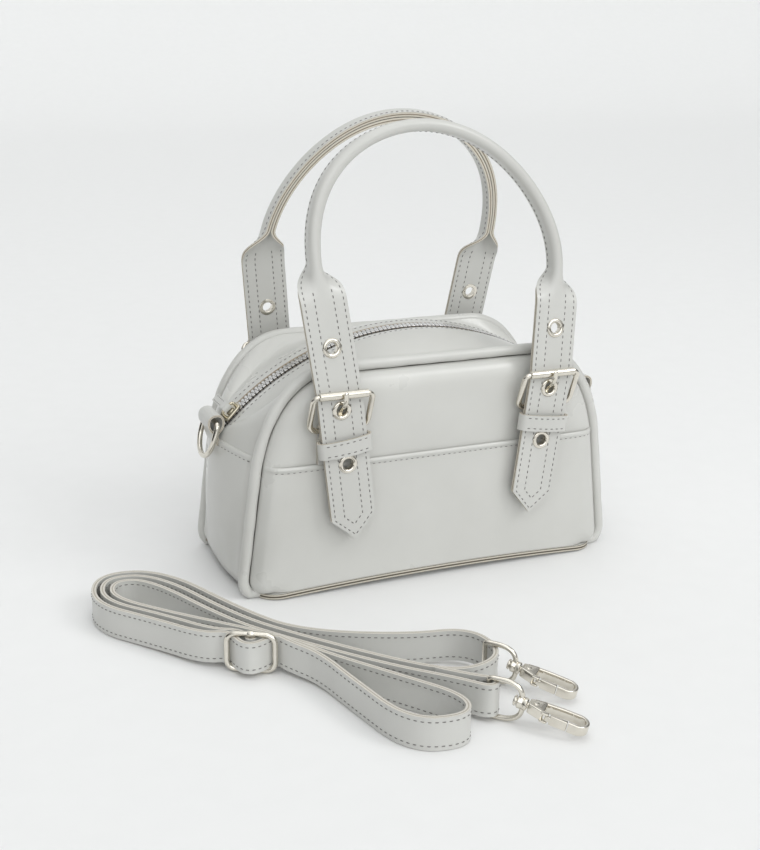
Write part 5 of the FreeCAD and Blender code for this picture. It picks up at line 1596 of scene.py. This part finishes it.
@dataclass
class Buckle:
    """A roller buckle at one corner: frame, roller, prong, chape and the keeper loop under it."""

    face: Face
    hand: Hand
    span: float = 62.0
    leg_span: float = 63.2
    slant: float = 6.9
    strap_y: float = -56.15
    roller_y: float = -60.05
    roller_z: float = 115.6
    bar_y: float = -51.45
    bar_z: float = 94.6
    half: float = 16.5
    wire: float = 1.3
    keeper_drop: float = 29.0
    corners: tuple[float, ...] = (3.0, 3.0, 5.4, 5.4)
    flare: float = 0.25
    keeper_bow: float = 2.0
    keeper_half: float = 14.5
    keeper_deep: float = 2.5
    keeper_corner: float = 2.2
    keeper_half_ply: float = 0.72
    keeper_half_wide: float = 4.5
    keeper_row: float = 2.9
    keeper_reach: float = 12.5
    roller_half: float = 13.8
    roller_radius: float = 2.2
    roller_bore: float = 1.5
    roller_edge: float = 0.4
    prong_curl: float = 2.25
    prong_turn: float = -5.2
    prong_radius: float = 0.85
    prong_wide: float = 1.5
    prong_point: float = 1.4
    chape_depths: Pair = (2.45, 0.85)
    chape_half_ply: float = 0.58
    chape_half_wide: float = 4.4
    chape_middle: float = 6.6

    def __post_init__(self) -> None:
        """Works out the side that the buckle is drawn on before it is turned to its face."""
        side = -1.0 if self.hand is Hand.LEFT else 1.0
        self.side = -side if self.face is Face.BACK else side
        self.name = f"{self.face.value}_{self.hand.value}"

    def build(self) -> None:
        """Makes the metal pieces and the chape."""
        self.frame()
        self.roller()
        self.prong()
        self.chape()

    def frame(self) -> None:
        """A wire frame with rounded corners, leaning from the roller back to the bar."""
        top = np.array([self.side * self.span, self.roller_y, self.roller_z])
        low = np.array([self.side * self.span, self.bar_y, self.bar_z])
        fall = low - top
        half_long = np.linalg.norm(fall) / 2
        outline = rounded_rectangle(self.half, half_long, self.corners, 9)
        path = (top + low) / 2 + outline[:, :1] * X_AXIS + outline[:, 1:] * unit(-fall)
        section = np.repeat(round_section(self.wire, 16)[None], len(path), axis=0)
        section[..., 0] *= 1.0 + self.flare * smooth((half_long - 1.0 - outline[:, 1:]) / 2.0)
        wire = swept(path, unit(np.cross(X_AXIS, fall)), section, closed=True)
        piece = make_piece(f"{self.name}_frame_metal", [wire.on(self.face)], [NICKEL], crease=60.0)
        dress(piece, "bag", "nickel", f"{self.name}_buckle_frame")

    def roller(self) -> None:
        """A tube on the frame's upper bar with rounded ends."""
        half, radius, bore = self.roller_half, self.roller_radius, self.roller_bore
        near, flat = radius - self.roller_edge, half - self.roller_edge
        profile = [(bore, -half), (near, -half), (radius, -flat), (radius, flat), (near, half), (bore, half)]
        place = Place(np.array([self.side * self.span, self.roller_y, self.roller_z]), ROUND_X)
        piece = make_piece(f"{self.name}_roller_metal", [lathed(profile, place).on(self.face)], [NICKEL])
        dress(piece, f"{self.name}_roller", "nickel", f"{self.name}_roller")

    def prong(self) -> None:
        """A flattened pin: curled round the bar, up behind the strap and out through the eyelet."""
        turn = np.linspace(self.prong_turn, 0.0, 30)
        back = self.prong_curl
        curl = back * np.stack([-np.cos(turn), np.sin(turn)], axis=1)
        leg = softened([(-back, 0.6), (-back, 10.6), (-11.98, 16.2), (-12.35, 23.6)], 4)
        line = resampled(np.concatenate([curl, leg]), 110)
        path = np.insert(line + np.array([self.bar_y, self.bar_z]), 0, self.side * self.span, axis=1)
        run = run_along(path)
        left = run[-1] - run
        radius = self.prong_radius * np.sqrt(np.clip((left + 0.05) / self.prong_point, 0.0, 1.0))
        section = round_section(radius, 14)
        section[..., 1] *= self.prong_wide
        pin = swept(path, X_AXIS, section)
        piece = make_piece(f"{self.name}_prong_metal", [pin.on(self.face)], [NICKEL], crease=60.0)
        dress(piece, f"{self.name}_prong", "nickel", f"{self.name}_prong")

    def chape(self) -> None:
        """A folded tab round the bar, split above for the prong."""
        ply = self.chape_half_ply
        behind, ahead = self.chape_depths
        fold = [(behind, -19.0), (behind, -6.0), (2.7, 0.0), (1.6, 2.6), (-1.6, 2.6), (-2.7, 0.0)]
        fold += [(-1.4, -3.4), (ahead, -6.5), (ahead, -19.0)]
        line = softened(fold) + np.array([self.bar_y, self.bar_z])
        patches = []
        for side in SIDES:
            path = np.insert(line, 0, self.side * self.span + side * self.chape_middle, axis=1)
            patches.append(PLAIN_STRAP.band(path, X_AXIS, ply, self.chape_half_wide, False))
        fill = rounded_rectangle(2.6, 5.9, 0.3) + np.array([self.side * self.span, self.bar_z - 13.1])
        for depth in self.chape_depths:
            plate = slab(fill, -ply, ply, 0.1)
            back = np.array([0.0, self.bar_y + depth, 0.0])
            patches.append(plate.placed(Place(back, np.stack([X_AXIS, Z_AXIS, -Y_AXIS]))))
        turned = [patch.on(self.face) for patch in patches]
        piece = make_piece(f"{self.name}_chape_leather", turned, [STRAP_LEATHER, RAW_EDGE])
        dress(piece, "bag", "leather", f"{self.name}_chape")

    def bowed(self, x: Array) -> Array:
        """How far the keeper's front stands out: a parabola across its width."""
        return self.keeper_bow * (1.0 - (x / self.keeper_half) ** 2)

    def keeper(self) -> tuple[Patch, list[Patch]]:
        """A leather loop round the strap, and the stitches along its two edges."""
        pivot = (self.side * self.leg_span, self.strap_y, self.roller_z)
        leg = turned_place(pivot, 1, self.side * self.slant)
        drop = -self.keeper_drop / math.cos(math.radians(self.slant))
        place = leg.then(Place(np.array([0.0, 0.0, drop]), np.eye(3)))
        outline = rounded_rectangle(self.keeper_half, self.keeper_deep, self.keeper_corner, 9)
        ring = resampled_loop(outline, 110)
        bow = np.where(ring[:, 1] < 0.0, -self.bowed(ring[:, 0]), 0.0)
        path = np.stack([ring[:, 0], ring[:, 1] + bow, np.zeros(len(ring))], axis=1)
        band = PLAIN_STRAP.band(path, Z_AXIS, self.keeper_half_ply, self.keeper_half_wide, True)
        x = np.linspace(-self.keeper_reach, self.keeper_reach, 30)
        y = -self.keeper_deep - (self.keeper_half_ply + SEAM_GAP) - self.bowed(x)
        rows = []
        for side in SIDES:
            line = np.stack([x, y, np.full(len(x), side * self.keeper_row)], axis=1)
            rows.append(Seam().row(line, np.broadcast_to(-Y_AXIS, line.shape)))
        return band.placed(place).on(self.face), [row.placed(place).on(self.face) for row in rows]


@dataclass
class SnapHook:
    """A snap hook at one end of the shoulder strap: D eye, swivelling hook and sprung gate."""

    name: str
    place: Pair
    turn: float
    height: float = 11.0
    tilt: float = 12.0
    eye_half: float = 9.55
    eye_arm: float = 4.0
    eye_square: float = 3.0
    wire: float = 1.25
    collar: float = 15.95
    band: float = 4.5
    eye_drop: float = 3.0
    bow_place: float = 25.7
    nose: float = 22.5
    half_high: float = 2.45
    ear_place: float = 11.3
    ear_gap: float = 1.45
    rivet_place: float = 6.0

    def build(self) -> list[Piece]:
        """Makes the eye, the hook and the gate, and returns them."""
        standing = turned_place((*self.place, self.height), 2, self.turn)
        tilted = standing.then(turned_place((self.collar, 0.0, 0.0), 1, self.tilt))
        return [self.eye(standing, tilted), self.body(tilted), self.gate(tilted)]

    def spun(self, profile: Sequence[Sequence[float]], closed: bool) -> Patch:
        """A profile of radius and length turned about the hook's own length."""
        return lathed(profile, Place(np.zeros(3), ROUND_X), closed, 28)

    def eye(self, standing: Place, tilted: Place) -> Piece:
        """The D that the strap goes round, with the collar that the hook turns in."""
        turn = np.linspace(-math.pi / 2, math.pi / 2, 72)
        long = self.eye_arm + (self.collar - self.eye_arm) * np.abs(np.cos(turn)) ** (2.0 / self.eye_square)
        high = self.eye_half * np.sign(turn) * np.abs(np.sin(turn)) ** (2.0 / self.eye_square)
        low = self.eye_half - self.eye_drop
        corner = softened([(self.eye_arm, self.eye_half), (0.0, self.eye_half), (0.0, low)])
        bow = np.stack([long, high], axis=1)
        outline = np.concatenate([bow, corner[1:], (corner * (1.0, -1.0))[::-1][:-1]])
        path = np.insert(resampled(outline, 110), 1, 0.0, axis=1)
        loop = swept(path, Y_AXIS, round_section(self.wire, 16), closed=True).placed(standing)
        profile = [(1.7, -2.5), (2.5, -2.5), (3.0, -2.0), (3.0, -0.7), (2.75, -0.4), (2.75, 0.4), (3.0, 0.7)]
        profile += [(3.0, 2.0), (2.5, 2.5), (1.7, 2.5)]
        collar = self.spun(profile, True).placed(tilted)
        piece = make_piece(f"{self.name}_eye_metal", [loop, collar], [NICKEL])
        return dress(piece, "shoulder_strap", "nickel", f"{self.name}_eye")

    def body(self, tilted: Place) -> Piece:
        """Headed stud, flat riveted block and the upright band that bends round to the nose."""
        stud = [(0.0, -4.3), (1.6, -4.25), (2.4, -3.9), (2.6, -3.4), (2.5, -2.95), (1.5, -2.85), (1.5, 3.4)]
        half_turn = np.linspace(math.pi / 2, -math.pi / 2, 40)
        high = self.half_high
        bow = self.band * np.stack([np.cos(half_turn), np.sin(half_turn)], axis=1)
        bow[:, 0] += self.bow_place
        arm = softened([(5.0, 2.7), (10.0, 3.6), (18.0, self.band), (self.bow_place, self.band)])[:-1]
        line = np.concatenate([arm, bow, [(self.nose, -self.band)]])
        path = np.insert(resampled(line, 90), 2, 0.0, axis=1)
        block = rounded_rectangle(3.9, 4.6, 1.3) + np.array([6.9, 0.0])
        block[:, 1] *= 0.6 + 0.4 * smooth((block[:, 0] - 3.0) / 6.0)
        ear = rounded_rectangle(1.9, 1.2, 1.1) + np.array([self.ear_place, -self.band])
        dome = [(0.0, 2.95), (0.8, 2.9), (1.4, 2.7), (1.6, 2.3)]
        rivet = lathed(dome, turned_place((self.rivet_place, 0.0, 0.0), 2, 0.0), False, 20)
        patches = [
            self.spun(stud + [(0.0, 3.5)], False),
            slab(block, -high, high, 0.5),
            slab(ear, -high, -self.ear_gap, 0.3),
            slab(ear, self.ear_gap, high, 0.3),
            rivet,
            rivet.flipped((1.0, 1.0, -1.0)),
            swept(path, Z_AXIS, rounded_rectangle(0.9, high, 0.6, 5)),
        ]
        piece = make_piece(f"{self.name}_hook_metal", [patch.placed(tilted) for patch in patches], [NICKEL])
        return dress(piece, self.name, "nickel", f"{self.name}_body")

    def gate(self, tilted: Place) -> Piece:
        """An upright strip from its pivot to the nose, cut down where it sits between the ears."""
        root = rounded_rectangle(1.8, 0.95, 0.9) + np.array([13.4, -self.band])
        strip = rounded_rectangle(4.0, 0.95, 0.5) + np.array([18.0, -self.band])
        patches = [slab(root, -1.25, 1.25, 0.3), slab(strip, -2.3, 2.3, 0.4)]
        piece = make_piece(f"{self.name}_gate_metal", [patch.placed(tilted) for patch in patches], [NICKEL])
        return dress(piece, f"{self.name}_gate", "nickel", f"{self.name}_gate")


# The shoulder strap's route on the floor in metres: X, Y and the height of its middle line, listed one by
# one.
STRAP_ROUTE = (
    (-0.1334, -0.1183, 0.0110), (-0.1361, -0.1105, 0.0110), (-0.1475, -0.1043, 0.0104),
    (-0.1650, -0.0776, 0.0090), (-0.1903, -0.0474, 0.0084), (-0.1828, -0.0202, 0.0083),
    (-0.1556, -0.0276, 0.0083), (-0.1312, -0.0896, 0.0083), (-0.1105, -0.1200, 0.0083),
    (-0.0680, -0.1725, 0.0088), (-0.0490, -0.1870, 0.0100), (-0.0275, -0.1790, 0.0110),
    (-0.0295, -0.1490, 0.0104), (-0.0620, -0.1410, 0.0088), (-0.1070, -0.1170, 0.0083),
    (-0.1258, -0.0866, 0.0083), (-0.1513, -0.0225, 0.0083), (-0.1853, -0.0149, 0.0083),
    (-0.1957, -0.0487, 0.0084), (-0.1697, -0.0811, 0.0090), (-0.1532, -0.1065, 0.0104),
    (-0.1409, -0.1102, 0.0110), (-0.1396, -0.1242, 0.0110), (-0.1333, -0.1277, 0.0110),
    (-0.1211, -0.1211, 0.0110), (-0.1172, -0.1302, 0.0106), (-0.1070, -0.1450, 0.0094),
    (-0.1015, -0.1720, 0.0086), (-0.0925, -0.2137, 0.0083), (-0.0663, -0.2200, 0.0083),
    (-0.0598, -0.2046, 0.0083), (-0.0790, -0.1775, 0.0083), (-0.1030, -0.1445, 0.0083),
    (-0.1164, -0.1218, 0.0086), (-0.1364, -0.1000, 0.0086), (-0.1616, -0.0739, 0.0084),
    (-0.1848, -0.0456, 0.0083), (-0.1789, -0.0262, 0.0083), (-0.1604, -0.0330, 0.0083),
    (-0.1366, -0.0921, 0.0083), (-0.1152, -0.1230, 0.0083), (-0.0814, -0.1653, 0.0086),
    (-0.0564, -0.1922, 0.0098), (-0.0480, -0.2063, 0.0110), (-0.0410, -0.2003, 0.0110),
    (-0.0526, -0.1912, 0.0108), (-0.0630, -0.1789, 0.0104),
)


@dataclass
class ShoulderStrap:
    """The long strap that stands coiled on its edge, its adjuster and the hooks at both ends."""

    width: float = 16.0
    thick: float = 2.5
    adjuster_place: Pair = (-133.5, -120.5)
    adjuster_turn: float = -28.4
    adjuster_half: float = 11.8
    adjuster_corner: float = 4.6
    rail: float = 9.45
    wire: float = 1.4
    bar: float = 1.2
    height: float = 11.0
    loop_radius: float = 2.2
    loop_half_ply: float = 0.62
    stitch_inset: float = 2.1

    def route(self) -> Array:
        """Points of the smooth curve through the route, in millimetres."""
        curve = bpy.data.curves.new("strap_route", "CURVE")
        curve.dimensions = "3D"
        curve.resolution_u = 20
        spline = curve.splines.new("NURBS")
        spline.points.add(len(STRAP_ROUTE) - 1)
        for point, place in zip(spline.points, STRAP_ROUTE):
            point.co = (*place, 1.0)
        spline.order_u = 3
        spline.use_endpoint_u = True
        spline.resolution_u = 20
        holder = bpy.data.objects.new("strap_route", curve)
        bpy.context.collection.objects.link(holder)
        mesh = bpy.data.meshes.new_from_object(holder)
        points = np.empty(3 * len(mesh.vertices))
        mesh.vertices.foreach_get("co", points)
        bpy.data.objects.remove(holder)
        bpy.data.curves.remove(curve)
        bpy.data.meshes.remove(mesh)
        return points.reshape(-1, 3) / MM

    def build(self) -> None:
        path = self.route()
        half_wide, half_thick = self.width / 2, self.thick / 2
        ribbon = PLAIN_STRAP.band(path, Z_AXIS, half_thick, half_wide, False)
        frame_place = turned_place((*self.adjuster_place, self.height), 2, self.adjuster_turn)
        turn = full_turn(32)
        circle = self.loop_radius * np.stack([np.cos(turn), np.sin(turn), 0.0 * turn], axis=1)
        loop = PLAIN_STRAP.band(circle, Z_AXIS, self.loop_half_ply, half_wide, True)
        patches = [ribbon, loop.placed(frame_place)]
        side, up = plane_frames(path, Z_AXIS, False)
        lift, spread = half_thick + SEAM_GAP, half_wide - self.stitch_inset
        for face in SIDES:
            for level in SIDES:
                line = path + face * lift * side + level * spread * up
                row = Seam().row(line, face * side)
                patches.append(replace(row, finish=row.finish + 2))
        strap = make_piece("shoulder_strap_leather", patches, [STRAP_LEATHER, STRAP_EDGE, THREAD])
        dress(strap, "shoulder_strap", "leather", "shoulder_strap")
        fittings = [self.adjuster(frame_place)]
        fittings += SnapHook("rear_hook", place=(-32.4, -168.8), turn=-48.7).build()
        fittings += SnapHook("front_hook", place=(-46.8, -200.4), turn=-44.6).build()
        round(float(run_along(path)[-1]) * MM, 3)

    def adjuster(self, place: Place) -> Piece:
        """A standing wire frame with rounded corners and a middle bar curled round both rails."""
        outline = rounded_rectangle(self.adjuster_half, self.rail, self.adjuster_corner, 10)
        path = np.stack([outline[:, 0], np.zeros(len(outline)), outline[:, 1]], axis=1)
        bar = np.linspace([0.0, 0.0, -self.rail], [0.0, 0.0, self.rail], 20)
        patches = [
            swept(path, Y_AXIS, round_section(self.wire, 16), closed=True),
            swept(bar, Y_AXIS, round_section(self.bar, 16)),
        ]
        knuckle = [(1.0, -1.5), (1.6, -1.5), (1.8, -1.2), (1.8, 1.2), (1.6, 1.5), (1.0, 1.5)]
        for level in (-self.rail, self.rail):
            patches.append(lathed(knuckle, Place(level * Z_AXIS, ROUND_X), True, 24))
        piece = make_piece("adjuster_metal", [patch.placed(place) for patch in patches], [NICKEL])
        return dress(piece, "shoulder_strap", "nickel", "strap_adjuster")


@dataclass
class Studio:
    """Pale sweep of floor and backdrop, soft lights and the camera at the photo's angle."""

    camera_place: tuple[float, float, float] = (-0.30383, -0.66475, 0.30784)
    yaw: float = math.radians(23.455)
    pitch: float = math.radians(17.729)
    roll: float = math.radians(0.885)
    lens: float = 55.54
    key_watts: float = 4.2
    top_watts: float = 1.0
    front_sky: float = 2.3
    horizon: float = 0.25
    top_sky: float = 1.3
    sky_rise: float = 0.35
    sky_colour: tuple[float, ...] = (0.985, 1.0, 1.0, 1.0)
    floor_front: float = -3000.0
    floor_half: float = 5000.0
    sweep_start: float = 2500.0
    sweep_radius: float = 1500.0
    backdrop_top: float = 4000.0

    def build(self) -> None:
        """Makes the floor, the lights, the sky and the camera."""
        self.floor()
        key, top = (0.9, -1.0, 1.2), (0.1, 0.1, 1.4)
        self.light("front_right", key, aim=(0.0, 0.0, 0.08), wide=0.5, watts=self.key_watts)
        self.light("overhead", top, aim=(0.0, 0.0, 0.1), wide=0.8, watts=self.top_watts)
        self.sky()
        bpy.context.scene.view_settings.view_transform = "Standard"
        self.camera()

    def sky(self) -> None:
        """A soft sky: bright high in front and overhead, dark at the sides, behind and along the horizon."""
        world = bpy.context.scene.world or bpy.data.worlds.new("studio_world")
        bpy.context.scene.world = world
        bench = NodeBench(world, "Background")
        split = bench.over("Generated", "ShaderNodeSeparateXYZ")
        shares = []
        for axis, way in (("Y", -1.0), ("Z", 1.0)):
            lobe = bench.add("ShaderNodeMath", {1: 2.0}, operation="POWER")
            bench.join(bench.spread(split.outputs[axis], 0.0, 1.0, 0.0, way), lobe.inputs[0])
            shares.append(lobe.outputs["Value"])
        rising = bench.spread(split.outputs["Z"], self.horizon, self.front_sky, 0.0, self.sky_rise)
        front = bench.combine("MULTIPLY", shares[0], rising)
        high = bench.spread(shares[1], 0.0, self.top_sky, 0.0, 1.0)
        bench.paint(Color=self.sky_colour, Strength=bench.combine("ADD", front, high))

    def floor(self) -> None:
        """A level floor that curves up into a backdrop far behind the bag."""
        turn = np.linspace(0.0, math.pi / 2, 24)
        bend = self.sweep_radius
        rise = np.stack([self.sweep_start + bend * np.sin(turn), bend - bend * np.cos(turn)], axis=1)
        end = (self.sweep_start + bend, self.backdrop_top)
        line = np.concatenate([[(self.floor_front, 0.0), (0.0, 0.0)], rise, [end]])
        x = np.linspace(-self.floor_half, self.floor_half, 5)
        points = np.stack(np.broadcast_arrays(x[None], line[:, :1], line[:, 1:]), axis=-1)
        sweep = make_piece("studio_floor", [grid(points)], [FLOOR])
        sweep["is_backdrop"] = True

    def light(
        self, name: str, place: Sequence[float], aim: Sequence[float], wide: float, watts: float
    ) -> None:
        """A square soft light that faces a point."""
        lamp = bpy.data.lights.new(name, "AREA")
        lamp.size = wide
        lamp.energy = watts
        holder = bpy.data.objects.new(name, lamp)
        back = unit(np.array(place, float) - np.array(aim, float))
        right = unit(np.cross(Z_AXIS, back))
        turn = np.stack([right, np.cross(back, right), back], axis=1)
        holder.matrix_world = Matrix.Translation(place) @ Matrix(turn.tolist()).to_4x4()
        bpy.context.collection.objects.link(holder)
        holder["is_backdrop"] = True

    def camera(self) -> None:
        """The camera that took the photo, worked out from the bag's own corners."""
        level = math.cos(self.pitch)
        ahead = np.array([math.sin(self.yaw) * level, math.cos(self.yaw) * level, -math.sin(self.pitch)])
        right = np.array([math.cos(self.yaw), -math.sin(self.yaw), 0.0])
        up = np.cross(right, ahead)
        c, s = math.cos(self.roll), math.sin(self.roll)
        turn = np.stack([c * right + s * up, c * up - s * right, -ahead], axis=1)
        lens = bpy.data.cameras.new("photo_camera")
        lens.lens = self.lens
        lens.clip_start = 0.01
        holder = bpy.data.objects.new("photo_camera", lens)
        holder.matrix_world = Matrix.Translation(self.camera_place) @ Matrix(turn.tolist()).to_4x4()
        bpy.context.collection.objects.link(holder)
        bpy.context.scene.camera = holder


def write_sizes() -> None:
    """Works out the shown object's box before and after dressing."""
    boxes = {"cad": CAD_BOX, "dressed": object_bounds()}
    plain = {name: [list(corner) for corner in box] for name, box in boxes.items()}


def main() -> None:
    """Builds the bag from its base up, then the strap beside it and the studio."""
    logging.basicConfig(level=logging.INFO, format="%(message)s")
    Base().build()
    for face in Face:
        FacePanels(face).build()
    GussetBand().build()
    Zip().build()
    for hand in Hand:
        EndRing(hand).build()
    handles = [
        TopHandle(Face.FRONT, sway=-9.0, fold_left=47.0, fold_right=36.0),
        TopHandle(Face.BACK, sway=-9.0, fold_left=43.5, fold_right=51.5),
    ]
    for handle in handles:
        handle.build()
    eyelets = [patch for handle in handles for patch in handle.tail_eyelets()]
    dress(make_piece("tail_eyelets", eyelets, [NICKEL]), "bag", "nickel", "strap_end_eyelets")
    buckles = [Buckle(face, hand) for face in Face for hand in Hand]
    for buckle in buckles:
        buckle.build()
    loops = [buckle.keeper() for buckle in buckles]
    keepers = make_piece("keeper_leather", [band for band, _ in loops], [STRAP_LEATHER, RAW_EDGE])
    dress(keepers, "bag", "leather", "strap_keepers")
    sew("keeper_stitching", [row for _, rows in loops for row in rows], "bag")
    ShoulderStrap().build()
    Studio().build()
    write_sizes()


if __name__ == "__main__":
    main()
